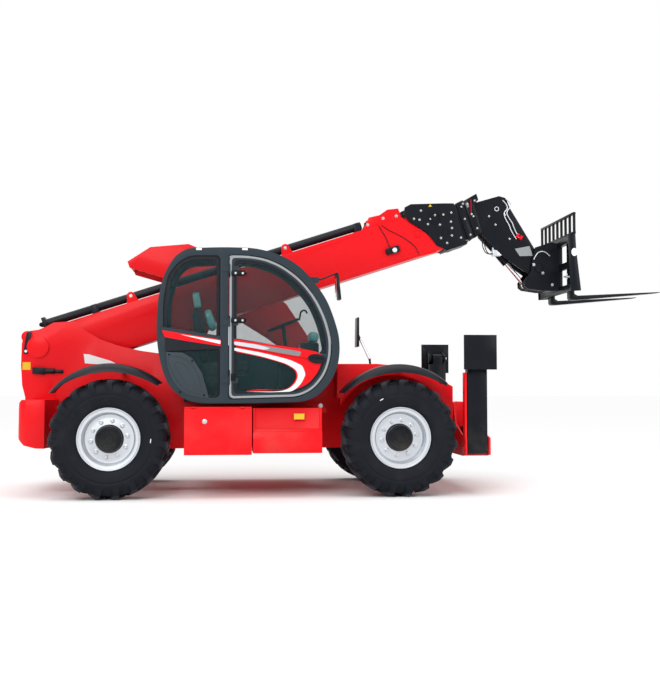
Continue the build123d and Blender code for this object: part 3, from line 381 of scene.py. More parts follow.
class Build:
    def __init__(self):
        self.points = []
        self.faces = []
        self.count = 0

    def add(self, points, faces):
        self.points.append(np.asarray(points, float).reshape(-1, 3))
        self.faces += [[i + self.count for i in face] for face in faces]
        self.count += len(self.points[-1])
        return self

    # rows and columns of points joined by quads, closed round or capped at the first and last row
    def grid(self, points, wrapRows=False, wrapCols=False, caps=False):
        rows, cols = points.shape[:2]
        index = np.arange(rows * cols).reshape(rows, cols)
        table = np.vstack([index, index[:1]]) if wrapRows else index
        table = np.hstack([table, table[:, :1]]) if wrapCols else table
        corners = (table[:-1, :-1], table[:-1, 1:], table[1:, 1:], table[1:, :-1])
        faces = np.stack(corners, -1).reshape(-1, 4).tolist()
        if caps:
            faces += [index[0][::-1].tolist(), index[-1].tolist()]
        return self.add(points, faces)

    # an outline carried straight from the low to the high depth
    def prism(self, outline, low, high, place=upright):
        line = np.asarray(outline, float)
        a = np.stack([line[:, 0]] * 2)
        b = np.stack([line[:, 1]] * 2)
        depth = np.broadcast_to(np.array([[low], [high]], float), a.shape)
        return self.grid(place(a, depth, b), wrapCols=True, caps=True)

    def box(self, low, high, place=upright):
        outline = [(low[0], low[2]), (high[0], low[2]), (high[0], high[2]), (low[0], high[2])]
        return self.prism(outline, low[1], high[1], place)

    # a circle carried along a path, its frame turned with the path and never twisted
    def tube(self, path, radius, sides=12, closed=False):
        path = np.asarray(path, float)
        ahead = unit(np.roll(path, -1, 0) - np.roll(path, 1, 0) if closed else np.gradient(path, axis=0))
        side = np.cross(ahead[0], (0.13, 0.91, 0.39))
        frames = []
        for step in ahead:
            side = unit(side - step * (side @ step))
            frames.append((side, np.cross(step, side)))
        frames = np.array(frames)
        turn = np.linspace(0, 2 * math.pi, sides, endpoint=False)[None, :, None]
        ring = np.cos(turn) * frames[:, None, 0] + np.sin(turn) * frames[:, None, 1]
        return self.grid(path[:, None] + ring * radius, wrapRows=closed, wrapCols=True, caps=not closed)

    # a profile of (radius, distance along the axis) turned about the axis; a closed profile makes a ring
    def turned(self, profile, centre, axis, steps=48, closed=False):
        profile = np.asarray(profile, float)
        axis = unit(np.asarray(axis, float))
        side = unit(np.cross(axis, (0.31, 0.17, 0.94)))
        turn = np.linspace(0, 2 * math.pi, steps, endpoint=False)[:, None, None]
        ring = np.cos(turn) * side + np.sin(turn) * np.cross(axis, side)
        points = np.asarray(centre) + ring * profile[None, :, :1] + axis * profile[None, :, 1:]
        return self.grid(points, wrapRows=True, wrapCols=closed)

    # a round washer and a head with the given sides, both turned about the axis
    def bolts(self, places, axis, radius, height, sides=6):
        washer = [(0.0, 0.0), (radius * 1.5, 0.0), (radius * 1.5, height * 0.2), (radius, height * 0.2)]
        head = [(radius, height * 0.2), (radius, height * 0.85), (radius * 0.82, height), (0.0, height)]
        for at in places:
            self.turned(washer, at, axis, 14)
            self.turned(head, at, axis, sides)
        return self

    def piece(self, name, look, body, width=0.0, angle=35, segments=2, slot=None):
        mesh = bpy.data.meshes.new(name + "Mesh")
        mesh.from_pydata(np.vstack(self.points).tolist(), [], self.faces)
        work = bmesh.new()
        work.from_mesh(mesh)
        bmesh.ops.remove_doubles(work, verts=work.verts, dist=0.00002)
        bmesh.ops.recalc_face_normals(work, faces=work.faces)
        work.to_mesh(mesh)
        work.free()
        obj = makeObject(name, mesh, look, body)
        if width:
            roundEdges(obj, width, segments, angle)
        finishMesh(obj, angle)
        return obj


# outwards on the camera's side and on the other
toNear, toFar = (0, -1, 0), (0, 1, 0)

# shells: look, then the radius of the rounded edges of each node
shellPlan = {
    "redPaint": dict(chassis_frame=0.004, rear_counterweight=0.03, front_covers=0.008, toolbox=0.005,
                     toolbox_lid=0.003, access_step=0.005, engine_bay=0.004, engine_hood=0.008,
                     stabilizer_frame=0.004),
    "boomPaint": dict(boom_base=0.004),
    "blackPaint": dict(boom_section_1=0.003, boom_section_2=0.003, boom_section_3=0.004, fork_carriage=0.003,
                       load_backrest=0.002, forks=0.003, tow_hitch=0.003, front_axle=0.006, rear_axle=0.006,
                       stabilizer_leg_right=0.004, stabilizer_leg_left=0.004, stabilizer_foot_right=0.004,
                       stabilizer_foot_left=0.004),
    "greyPaint": dict(cab_frame=0.012, door_frame=0.004),
    "mouldedGrey": dict(corner_panel=0.006),
    "blackPlastic": dict(mudguards=0.004, console=0.006, mirrors=0.004, lamps=0.005, boom_lamp=0.012,
                         boom_hose_tube=0.003),
    "interiorGrey": dict(cab_floor=0.004),
    "castIron": dict(engine_block=0.006),
}
for look, widths in shellPlan.items():
    for node, width in widths.items():
        shell(node, look, width)
# nodes that keep their own shape and only take a look
cylinders = ("lift", "tilt", "stabilizer_right", "stabilizer_left")
keptPlan = {
    "tintedGlass": ["cab_glass", "door_glass"],
    "blackPaint": [name + "_barrel" for name in cylinders],
    "chromeRod": [name + "_rod" for name in cylinders],
    "castIron": ["knuckle_" + name for name in wheelNames],
}
for look, kept in keptPlan.items():
    for node in kept:
        nodes[node].data.materials.clear()
        nodes[node].data.materials.append(looks[look])
print("stage: shells")

tyrePlan = dict(radius=0.628, half=0.2, bead=0.305, carcass=0.59, lugs=19, lugWidth=0.06, chevron=0.16)
rimPlan = dict(lip=0.33, seat=0.288, hub=0.146, hubFace=0.14, nuts=10, nutCircle=0.19, firstNut=0.16,
               hubBoltCircle=0.08)


# the carcass is a closed profile turned about the axle; a lug is a six-sided section that runs from past
# the middle out over the shoulder, swept back by a power of its run and lowered near its end
def tyreMesh(centre, outward):
    plan = tyrePlan
    half, bead, carcass = plan["half"], plan["bead"], plan["carcass"]
    sidewall = [(bead, 0.1415), (bead + 0.024, 0.1475), (bead + 0.03, 0.163), (bead + 0.05, 0.176),
                (bead + 0.09, half - 0.008), (bead + 0.14, half - 0.001), (bead + 0.145, half - 0.004),
                (bead + 0.16, half - 0.003), (bead + 0.165, half), (bead + 0.2, half - 0.003),
                (carcass - 0.05, half - 0.013), (carcass - 0.015, half - 0.034), (carcass, half - 0.07),
                (carcass + 0.004, half - 0.13)]
    inside = [(carcass - 0.03, -0.12), (carcass - 0.03, 0.12)]
    profile = sidewall + [(r, -y) for r, y in sidewall[::-1]] + inside
    build = Build().turned(profile, centre, toFar, 96, closed=True)
    run = np.linspace(0.0, 1.0, 9)
    depth = -0.022 + run * (half + 0.0215)
    sweep = plan["chevron"] * run ** 0.85
    top = plan["radius"] - 0.01 * run ** 2 - 0.045 * np.clip((run - 0.84) / 0.16, 0, 1) ** 1.6
    foot = carcass - 0.012 - 0.085 * np.clip((run - 0.7) / 0.3, 0, 1) ** 1.2
    width = plan["lugWidth"] * (0.82 + 0.35 * run)
    section = np.array([(-0.62, 0.0), (-0.5, 0.85), (-0.4, 1.0), (0.4, 1.0), (0.5, 0.85), (0.62, 0.0)])
    radius = foot[:, None] + (top - foot)[:, None] * section[None, :, 1]
    lean = outward * (sweep[:, None] - width[:, None] * section[None, :, 0] / carcass)
    for side in (-1, 1):
        y = np.broadcast_to(side * depth[:, None], radius.shape)
        for i in range(plan["lugs"]):
            angle = (i + (0.5 if side > 0 else 0.0)) * 2 * math.pi / plan["lugs"] - lean
            points = np.stack([radius * np.sin(angle), y, -radius * np.cos(angle)], -1) + centre
            build.grid(points, wrapCols=True, caps=True)
    return build


# the rim's closed profile: (radius, distance outwards from the wheel's middle)
def rimProfile(lip, seat, hub):
    return [(lip, -0.158), (lip - 0.003, -0.148), (seat + 0.012, -0.14), (seat, -0.128), (seat, 0.128),
            (seat + 0.012, 0.14), (lip - 0.003, 0.148), (lip, 0.154), (lip - 0.004, 0.159),
            (lip - 0.012, 0.158), (lip - 0.02, 0.15), (seat - 0.008, 0.146), (seat - 0.018, 0.11),
            (seat - 0.022, 0.075), (seat - 0.034, 0.058), (seat - 0.05, 0.055), (0.205, 0.06),
            (hub, 0.066), (hub, 0.03), (0.205, 0.03), (seat - 0.03, 0.03), (seat - 0.02, -0.02),
            (seat - 0.012, -0.148), (lip - 0.02, -0.158)]


def hubProfile(hub, face):
    return [(0.0, face - 0.002), (0.045, face - 0.002), (0.05, face - 0.008), (0.1, face - 0.008),
            (0.106, face - 0.002), (0.118, face - 0.004), (0.132, face - 0.016), (0.14, 0.085),
            (hub + 0.004, 0.068), (hub + 0.004, 0.02), (hub, -0.004), (0.05, -0.006), (0.0, -0.006)]


# a wheel nut's stud end, washer and head: profile and sides
nutParts = [([(0.0, 0.088), (0.012, 0.088), (0.0125, 0.078), (0.012, 0.06)], 14),
            ([(0.027, 0.059), (0.027, 0.063), (0.018, 0.066)], 18),
            ([(0.0185, 0.064), (0.0185, 0.078), (0.016, 0.081), (0.0, 0.081)], 6)]
for tag in wheelNames:
    centre = middleOf("tyre_" + tag)
    outward = -1 if tag.endswith("right") else 1
    body = bodyOf["tyre_" + tag]
    axis = np.array((0.0, outward, 0.0))
    tyre = tyreMesh(centre, outward).piece("tyre_" + tag + "_tread", "tyreRubber", body, angle=38,
                                           slot=slotOf["tyre_" + tag])
    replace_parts(tyre, "tyre_" + tag)
    lip, seat, hub, face = (rimPlan[key] for key in ("lip", "seat", "hub", "hubFace"))
    rimBuild = Build().turned(rimProfile(lip, seat, hub), centre, axis, 96, closed=True)
    rim = rimBuild.piece("rim_" + tag + "_disc", "silverPaint", body, angle=30, slot=slotOf["rim_" + tag])
    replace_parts(rim, "rim_" + tag)
    turn = np.arange(rimPlan["nuts"]) * 2 * math.pi / rimPlan["nuts"] + rimPlan["firstNut"]
    ring = np.stack([np.sin(turn), np.zeros(len(turn)), np.cos(turn)], -1)
    hubBuild = Build().turned(hubProfile(hub, face), centre, axis, 64)
    hubBuild.bolts(centre + ring * rimPlan["hubBoltCircle"] + axis * (face - 0.009), axis, 0.008, 0.008)
    hubBuild.piece("hub_" + tag, "blackPaint", body, angle=30)
    nuts = Build()
    for at in centre + ring * rimPlan["nutCircle"]:
        for profile, sides in nutParts:
            nuts.turned(profile, at, axis, sides)
    nuts.piece("wheel_nuts_" + tag, "silverPaint", body, angle=30)
print("stage: wheels")

# the cab's near side: its faces across the machine and its outlines as (X, Z)
door = bodyOf["door_frame"]
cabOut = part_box("cab_frame")[0][1]
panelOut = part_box("corner_panel")[0][1]
railFace = cabOut + 0.008
glassFace = cabOut + 0.024
proud = cabOut + 0.0002
doorLine = [(-1.397, 2.564), (-1.18, 2.561), (-1.021, 2.537), (-0.841, 2.465), (-0.649, 2.328),
            (-0.489, 2.138), (-0.372, 1.904), (-0.313, 1.671), (-0.318, 1.479), (-0.382, 1.288),
            (-0.51, 1.14), (-0.668, 1.066), (-1.397, 1.046)]
rearPane = [(-2.082, 1.7), (-2.085, 2.081), (-2.036, 2.344), (-1.933, 2.482), (-1.809, 2.553),
            (-1.49, 2.56), (-1.49, 1.64)]
lowPane = [(-2.05, 1.56), (-1.49, 1.59), (-1.49, 1.06), (-1.69, 1.06), (-1.83, 1.09),
           (-1.96, 1.2), (-2.035, 1.36)]
panelLine = [(-2.045, 1.5), (-1.9, 1.492), (-1.795, 1.44), (-1.716, 1.31), (-1.665, 1.13),
             (-1.69, 1.095), (-1.82, 1.12), (-1.93, 1.225), (-2.01, 1.37)]


# a round cord laid along an outline
def bead(build, outline, depth, radius):
    line = softened(outline, 0.05)
    build.tube(upright(line[:, 0], np.full(len(line), depth), line[:, 1]), radius, 8, closed=True)


# the flat strip between an outline shrunk by outer and by inner
def band(build, outline, outer, inner, depth, thick=0.001):
    loops = [softened(shrunk(outline, d), 0.05) for d in (outer, inner)]
    rings = [(loops[0], depth), (loops[1], depth), (loops[1], depth + thick), (loops[0], depth + thick)]
    points = np.stack([upright(line[:, 0], np.full(len(line), y), line[:, 1]) for line, y in rings])
    build.grid(points, wrapRows=True, wrapCols=True)


# seals, gaskets and ribs: look, body, then each outline with its inset, depth and radius
beadPlan = {
    "door_seal": ("sealGrey", door, [(doorLine, inset, cabOut + 0.0145, 0.0085) for inset in (0.02, 0.012)]),
    "door_gasket": ("blackPlastic", door, [(doorLine, 0.052, cabOut + 0.024, 0.007)]),
    "pane_gaskets": ("blackPlastic", "chassis", [(rearPane, 0.006, cabOut + 0.028, 0.007),
                                                 (lowPane, 0.006, cabOut + 0.028, 0.007)]),
    "panel_ribs": ("mouldedGrey", "chassis", [(panelLine, 0.0, panelOut + 0.001, 0.007),
                                              (panelLine, 0.06, panelOut + 0.002, 0.005)]),
}
for name, (look, body, rows) in beadPlan.items():
    build = Build()
    for outline, inset, depth, radius in rows:
        bead(build, shrunk(outline, inset), depth, radius)
    build.piece(name, look, body)
# the printed black border of the panes: body, lift, then each outline with its outer and inner inset
borderPlan = {
    "door_border": (door, 0.0225, [(doorLine, 0.051, 0.08)]),
    "pane_borders": ("chassis", 0.0285, [(rearPane, 0.001, 0.04), (lowPane, 0.001, 0.026)]),
}
for name, (body, lift, rows) in borderPlan.items():
    build = Build()
    for outline, outer, inner in rows:
        band(build, outline, outer, inner, cabOut + lift)
    build.piece(name, "blackPlastic", body)

# hinge arms in front of the door and its latch, with their pins on the door's own axis
hingePlan = dict(heights=(2.372, 1.873), back=-1.376, middle=-1.3, taper=-1.235, front=-1.205, half=0.033,
                 pin=0.0095, over=0.012, bolts=(-1.33, -1.255))
latchPlan = dict(low=(-1.376, 1.235), high=(-1.325, 1.315), lift=0.012, pin=(1.2, 1.35))
doorAxis = pivotOf["cab_door_swing"]


def doorPin(build, low, high):
    build.tube([(doorAxis[0], doorAxis[1], low), (doorAxis[0], doorAxis[1], high)], hingePlan["pin"], 14)


hinges = Build()
for z in hingePlan["heights"]:
    back, middle, taper, front, h = (hingePlan[key] for key in ("back", "middle", "taper", "front", "half"))
    arm = [(back, z - h), (back, z + h), (middle, z + h), (taper, z + h * 0.8), (front, z),
           (taper, z - h * 0.8), (middle, z - h)]
    hinges.prism(softened(arm, 0.02), proud, glassFace)
    doorPin(hinges, z - h - hingePlan["over"], z + h + hingePlan["over"])
hinges.piece("hinge_arms", "blackPaint", door, 0.004)
(left, bottom), (right, top) = latchPlan["low"], latchPlan["high"]
latch = Build().box((left, proud, bottom), (right, cabOut + latchPlan["lift"], top))
doorPin(latch, *latchPlan["pin"])
latch.piece("door_latch", "blackPaint", door, 0.003)

# printed bands: look, body, front and back depth, reach of the rounding, outline
bandPlan = {
    "band_red": ("redPaint", door, glassFace - 0.001, glassFace - 0.0002, 0.02, [
        (-1.345, 1.672), (-1.05, 1.632), (-0.806, 1.601), (-0.6, 1.574), (-0.465, 1.546), (-0.392, 1.5),
        (-0.372, 1.44), (-0.4, 1.34), (-0.47, 1.243), (-0.56, 1.17), (-0.69, 1.122), (-0.806, 1.108),
        (-1.015, 1.112), (-1.226, 1.128), (-1.1, 1.15), (-0.9, 1.14), (-0.78, 1.15), (-0.716, 1.205),
        (-0.68, 1.284), (-0.7, 1.35), (-0.788, 1.411), (-1.038, 1.486), (-1.345, 1.545)]),
    "swoosh_white": ("whiteDecal", door, glassFace - 0.0016, glassFace - 0.0002, 0.02, [
        (-1.345, 1.586), (-1.017, 1.527), (-0.742, 1.456), (-0.622, 1.396), (-0.588, 1.309), (-0.627, 1.215),
        (-0.707, 1.135), (-0.804, 1.112), (-1.226, 1.124), (-0.889, 1.124), (-0.779, 1.142), (-0.699, 1.204),
        (-0.664, 1.284), (-0.684, 1.352), (-0.784, 1.416), (-1.038, 1.494), (-1.345, 1.556)]),
    "rail_red": ("redPaint", door, railFace - 0.001, railFace - 0.0002, 0.02, [
        (-1.345, 1.674), (-1.05, 1.632), (-0.806, 1.601), (-0.6, 1.571), (-0.465, 1.541), (-0.405, 1.505),
        (-0.398, 1.462), (-0.48, 1.4605), (-1.345, 1.609)]),
    "rail_grey": ("greyDecal", door, railFace - 0.0016, railFace - 0.0002, 0.02, [
        (-1.343, 1.652), (-1.123, 1.624), (-0.633, 1.545), (-0.652, 1.496), (-0.84, 1.527), (-1.017, 1.56),
        (-1.343, 1.614)]),
    "rail_light": ("silverPaint", door, railFace - 0.0022, railFace - 0.0002, 0.02, [
        (-1.341, 1.65), (-1.1, 1.619), (-0.96, 1.58), (-1.02, 1.562), (-1.341, 1.616)]),
    "waist_rail": ("greyPaint", "chassis", cabOut - 0.0008, cabOut + 0.029, 0.006, [
        (-2.112, 1.804), (-1.482, 1.706), (-1.482, 1.668), (-2.108, 1.762)]),
    "waist_red": ("redPaint", "chassis", cabOut - 0.0012, cabOut + 0.029, 0.006, [
        (-2.095, 1.764), (-1.482, 1.669), (-1.482, 1.6), (-1.86, 1.655), (-2.062, 1.692)]),
    "waist_dark": ("blackPlastic", "chassis", cabOut - 0.0008, cabOut + 0.029, 0.006, [
        (-2.06, 1.694), (-1.86, 1.658), (-1.482, 1.602), (-1.482, 1.575), (-2.055, 1.545)]),
    "waist_streak": ("whiteDecal", "chassis", cabOut - 0.002, cabOut + 0.029, 0.006, [
        (-1.905, 1.722), (-1.485, 1.658), (-1.485, 1.622), (-1.6, 1.648)]),
}
for name, (look, body, front, back, reach, outline) in bandPlan.items():
    Build().prism(softened(outline, reach), front, back).piece(name, look, body)

# the oval handle cup in the door's rail, stepped in towards its floor
handlePlan = dict(centre=(-0.47, 1.47), radii=(0.096, 0.05), tilt=-0.12, floor=0.8,
                  grip=[(-0.535, 1.477), (-0.5, 1.483), (-0.44, 1.477), (-0.405, 1.466)])
tiltCos, tiltSin = math.cos(handlePlan["tilt"]), math.sin(handlePlan["tilt"])
oval = ellipse((0, 0), handlePlan["radii"]) @ np.array([[tiltCos, tiltSin], [-tiltSin, tiltCos]])
rings = [(1.0, glassFace - 0.001), (1.0, railFace - 0.006), (handlePlan["floor"], railFace - 0.006),
         (handlePlan["floor"], railFace - 0.003)]
cup = [np.insert(oval * scale + np.array(handlePlan["centre"]), 1, depth, axis=1) for scale, depth in rings]
Build().grid(np.stack(cup), wrapCols=True, caps=True).piece("handle_cup", "blackPlastic", door)
grip = spread(handlePlan["grip"], railFace - 0.001)
Build().tube(grip, 0.006, 10).piece("handle_grip", "blackPaint", door)

clipPlan = dict(places=((-1.715, 2.621), (-1.2325, 2.627)), half=0.03, down=0.01, up=0.012)
clips = Build()
for x, z in clipPlan["places"]:
    clips.box((x - clipPlan["half"], cabOut - 0.001, z - clipPlan["down"]),
              (x + clipPlan["half"], cabOut + 0.05, z + clipPlan["up"]))
clips.piece("roof_clips", "whiteDecal", "chassis", 0.003)
print("stage: cab outside")


# a superellipsoid: the cosines and sines of its two angles keep their sign and take a power below one,
# its sides pull in between the corners, and it leans about Y
def cushion(centre, size, lean, power, steps=40):
    def squared(value):
        return np.sign(value) * np.abs(value) ** power

    u = np.linspace(0, 2 * math.pi, steps, endpoint=False)[None, :]
    v = np.linspace(-math.pi / 2, math.pi / 2, steps // 2)[:, None]
    shape = np.stack([squared(np.cos(v)) * squared(np.cos(u)), squared(np.cos(v)) * squared(np.sin(u)),
                      squared(np.sin(v)) * np.ones_like(u)], -1)
    shape[..., :2] *= (1.0 - 0.05 * np.cos(2 * u) ** 2)[..., None]
    shape *= np.asarray(size) / 2
    turn = np.array([[math.cos(lean), 0, math.sin(lean)], [0, 1, 0], [-math.sin(lean), 0, math.cos(lean)]])
    return Build().grid(shape @ turn.T + np.asarray(centre), wrapCols=True, caps=True)


seatPlan = dict(foot=((-1.68, -0.95, 1.0905), (-1.38, -0.56, 1.31)), posts=(-0.8, -0.71),
                pan=((-1.69, -0.97, 1.3), (-1.22, -0.54, 1.335)))
seat = Build().box(*seatPlan["foot"]).box(*seatPlan["pan"])
for y in seatPlan["posts"]:
    seat.tube([(-1.755, y, 1.95), (-1.765, y, 2.06)], 0.007, 8)
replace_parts(seat.piece("seat_base", "blackPlastic", "chassis", 0.006), "seat")
# cushions and film wraps: look, centre, size, lean, power
cushionPlan = {
    "seat_cushion": ("seatFabric", (-1.435, -0.755, 1.385), (0.51, 0.48, 0.125), -0.06, 0.42),
    "seat_back": ("seatFabric", (-1.7, -0.755, 1.72), (0.125, 0.46, 0.58), -0.18, 0.42),
    "seat_headrest": ("tealWrap", (-1.745, -0.755, 2.115), (0.085, 0.25, 0.185), -0.15, 0.42),
    "back_wrap": ("tealWrap", (-1.6, -0.76, 1.9), (0.1, 0.3, 0.24), -0.3, 0.6),
    "dash_wrap": ("tealWrap", (-0.47, -0.74, 1.72), (0.12, 0.26, 0.12), 0.2, 0.7),
}
for name, (look, *plan) in cushionPlan.items():
    soft = cushion(*plan).piece(name, look, "chassis", angle=60)
dash = Build().box((-0.62, -0.93, 1.5), (-0.42, -0.56, 1.66))
dash.piece("dash_panel", "blackPlastic", "chassis", 0.03, segments=4)
grabLine = [(-0.6, 1.93), (-0.585, 2.02), (-0.565, 2.045), (-0.525, 2.045), (-0.512, 2.01)]
grab = np.insert(softened(grabLine, 0.02, closed=False), 1, -0.42, axis=1)
Build().tube(grab, 0.01, 10).piece("grab_handle", "blackPaint", "chassis")
leverPlan = dict(tips={-0.6: 1.6, -0.56: 1.56}, foot=(-1.25, 1.4), top=-1.22,
                 knob=[(0.0, -0.03), (0.018, -0.022), (0.022, 0.0), (0.016, 0.022), (0.0, 0.028)])
levers = Build()
for y, tip in leverPlan["tips"].items():
    footX, footZ = leverPlan["foot"]
    levers.tube([(footX, y, footZ), (leverPlan["top"], y, tip)], 0.008, 8)
    levers.turned(leverPlan["knob"], (leverPlan["top"] + 0.002, y, tip + 0.02), (0, 0, 1), 16)
levers.box((-1.4, -0.62, 1.32), (-1.16, -0.53, 1.42))
levers.piece("side_levers", "blackPlastic", "chassis", 0.004)
print("stage: cab inside")

# near faces across the machine that the small pieces sit on
boomOut, headOut, jibOut, carriageOut, railOut, coverOut = -0.17, -0.186, -0.114, -0.146, -0.285, -0.64
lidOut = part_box("toolbox_lid")[0][1]

# tube brackets and end plates on the boom's top, as (u, w)
bracketPlan = dict(ears=(1.137, 3.007), half=0.07, foot=0.186, eye=0.262, radius=0.048,
                   earDepths=((-0.106, -0.094), (-0.084, -0.072)), plateDepths=((-0.13, -0.1), (0.1, 0.13)),
                   plate=[(3.95, 0.186), (4.06, 0.31), (4.19, 0.3), (4.3, 0.335), (4.43, 0.31),
                          (4.44, 0.186)])
half, foot, eye, radius = (bracketPlan[key] for key in ("half", "foot", "eye", "radius"))
brackets = Build()
for u in bracketPlan["ears"]:
    ear = np.vstack([[(u - half, foot), (u + half, foot)], ellipse((u, eye), (radius, radius), 24)[:13]])
    for depths in bracketPlan["earDepths"]:
        brackets.prism(ear, *depths, onBoom)
for depths in bracketPlan["plateDepths"]:
    brackets.prism(bracketPlan["plate"], *depths, onBoom)
brackets.piece("boom_brackets", "redPaint", "boom_base", 0.003)

# the boom's side: a ring boss, the nose's lower strip and two weld lines, each as height and outline
trimPlan = dict(boss=[(0.052, -0.002), (0.05, 0.009), (0.034, 0.009), (0.03, 0.002), (0.0, 0.002)], strips=[
    (0.012, [(4.22, -0.299), (4.478, -0.316), (4.704, -0.326), (4.704, -0.314), (4.22, -0.29)]),
    (0.002, [(3.3, 0.128), (3.9, 0.14), (3.9, 0.144), (3.3, 0.132)]),
    (0.002, [(0.5, -0.262), (4.55, -0.262), (4.55, -0.258), (0.5, -0.258)])])
boomSide = boomOut - 0.0005
trim = Build().turned(trimPlan["boss"], onBoom(4.556, boomSide, -0.043), toNear, 40)
for height, outline in trimPlan["strips"]:
    trim.prism(outline, boomSide - height, boomSide, onBoom)
trim.piece("boom_trim", "redPaint", "boom_base", angle=40)

# rings on the head and the jib, the jib's caps and its valve
smallRing = [(0.045, -0.002), (0.044, 0.004), (0.038, 0.004), (0.036, -0.001)]
largeRing = [(0.075, -0.002), (0.074, 0.005), (0.062, 0.005), (0.06, -0.001)]
jibRing = [(0.03, -0.002), (0.029, 0.006), (0.02, 0.006), (0.018, -0.001)]
rings = Build()
for u, w, profile in ((4.8, 0.06, smallRing), (4.87, -0.13, smallRing), (4.8, 0.06, largeRing)):
    rings.turned(profile, onBoom(u, headOut, w), toNear, 32)
rings.piece("head_rings", "blackPaint", "boom_base")
ring = Build().turned(jibRing, (1.794, jibOut, 3.309), toNear, 28)
ring.bolts(spread([(1.7, 3.22), (1.9, 3.24), (1.78, 3.12), (1.95, 2.95)], jibOut), toNear, 0.008, 0.008)
ring.piece("jib_ring", "zincBolt", "boom_section_3")
cap = [(0.0, 0.03), (0.014, 0.03), (0.018, 0.02), (0.018, -0.02), (0.0, -0.02)]
caps = Build()
for at in ((2.045, -0.128, 2.985), (2.085, -0.128, 2.96)):
    caps.turned(cap, at, (0.5, 0, 0.85), 16)
caps.piece("jib_caps", "redPaint", "boom_section_3")
valve = Build().box((1.745, -0.11, 2.745), (1.85, -0.03, 2.815))
for x, top, radius in ((1.76, 2.85, 0.016), (1.8, 2.84, 0.012)):
    valve.tube([(x, -0.07, 2.8), (x, -0.07, top)], radius, 12)
valve.piece("jib_valve", "silverPaint", "boom_section_3", 0.004)
print("stage: boom and jib")

# turned covers and lamp glass: look, body, centre, sides, profile
lampAt = middleOf("boom_lamp") + (0.02, 0.0, 0.0)
lampAt[1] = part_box("boom_lamp")[0][1]
lampRing = [(0.033, -0.004), (0.036, 0.004), (0.03, 0.005), (0.029, -0.002)]
ring = Build().turned(lampRing, lampAt, toNear, 28, closed=True)
ring.piece("boom_lamp_ring", "blackPlastic", "boom_base")
discPlan = {
    "boom_lamp_lens": ("lampLens", "boom_base", lampAt, 28, [(0.029, 0.0), (0.022, 0.003), (0.0, 0.0045)]),
    "carriage_pin_cover": ("blackPaint", "carriage", (2.3, -0.1455, 2.6), 32, [
        (0.0, 0.01), (0.05, 0.01), (0.054, 0.006), (0.056, -0.002)]),
    "tower_boss": ("redPaint", "chassis", (-3.641, railOut, 1.735), 48, [
        (0.0, 0.012), (0.05, 0.012), (0.063, 0.004), (0.066, -0.003)]),
    "tower_lever_dot": ("whiteDecal", "chassis", (-3.652, railOut - 0.02, 1.572), 20, [
        (0.0, 0.005), (0.014, 0.004), (0.016, -0.001)]),
}
for name, (look, body, centre, sides, profile) in discPlan.items():
    Build().turned(profile, centre, toNear, sides).piece(name, look, body, angle=40)

# thin plates and marks: look, body, place, front and back depth, outline
platePlan = {
    "head_mark_yellow": ("yellowPlate", "boom_base", onBoom, -0.1872, -0.1862, [
        (4.77, 0.215), (4.8, 0.24), (4.812, 0.205)]),
    "section_2_mark_red": ("redPaint", "boom_section_2", onBoom, -0.1672, -0.1661, [
        (5.292, 0.15), (5.298, 0.15), (5.246, -0.02), (5.24, -0.02)]),
    "section_2_mark_pale": ("greyDecal", "boom_section_2", onBoom, -0.1672, -0.1661, [
        (5.215, 0.12), (5.245, 0.135), (5.25, 0.075), (5.222, 0.065)]),
    "jib_plate": ("sealGrey", "boom_section_3", upright, -0.1152, -0.1142, [
        (2.014, 2.832), (2.196, 2.868), (2.232, 2.75), (2.074, 2.744)]),
    "end_plate_spot": ("whiteDecal", "carriage", upright, -0.6062, -0.6051,
                       ellipse((2.575, 2.734), (0.036, 0.046))),
    "tower_plate": ("yellowPlate", "chassis", upright, -0.2862, -0.2852, [
        (-3.688, 1.365), (-3.601, 1.365), (-3.601, 1.45), (-3.688, 1.45)]),
    "frame_stripe": ("whiteDecal", "chassis", upright, -0.2862, -0.2852, [
        (-3.02, 1.545), (-2.96, 1.54), (-2.72, 1.468), (-2.65, 1.43), (-2.76, 1.425), (-2.95, 1.435),
        (-3.005, 1.44)]),
    "step_plate": ("yellowPlate", "chassis", upright, -1.1412, -1.1402, [
        (-0.706, 0.829), (-0.596, 0.829), (-0.596, 0.89), (-0.706, 0.89)]),
    "mirror_faces": ("mirrorFace", "chassis", across, -0.2585, -0.2575, [
        (-1.18, 2.125), (-1.035, 2.125), (-1.035, 2.35), (-1.18, 2.35)]),
}
for name, (look, body, place, front, back, outline) in platePlan.items():
    Build().prism(outline, front, back, place).piece(name, look, body)

# bolt heads: body, radius, height, axis, places
headBolts = [(4.815, 0.098), (4.913, 0.073), (5.013, 0.068), (4.836, -0.028), (4.974, -0.033),
             (4.797, -0.183), (4.962, -0.109), (4.934, -0.193), (4.67, 0.198), (4.742, 0.071), (4.56, 0.13),
             (4.7, 0.02), (5.03, -0.25), (4.85, -0.26), (4.62, 0.1)]
tubeBolts = [(1.137, 0.262), (3.007, 0.262), (4.1, 0.25), (4.33, 0.29)]
plateBolts = [(4.02, 0.23), (4.22, 0.25), (4.38, 0.23)]
section1Bolts = [(5.156, 0.1), (5.185, 0.13), (5.15, -0.05), (5.155, -0.25)]
section2Bolts = [(5.25, -0.02), (5.262, -0.05), (5.26, -0.2), (5.335, 0.125), (5.24, 0.11)]
hingeBolts = [(x, z) for z in hingePlan["heights"] for x in hingePlan["bolts"]]
legPins = [(x, y, z) for y in (-1.03, 1.03) for x, z in ((1.441, 0.5), (1.411, 1.545))]
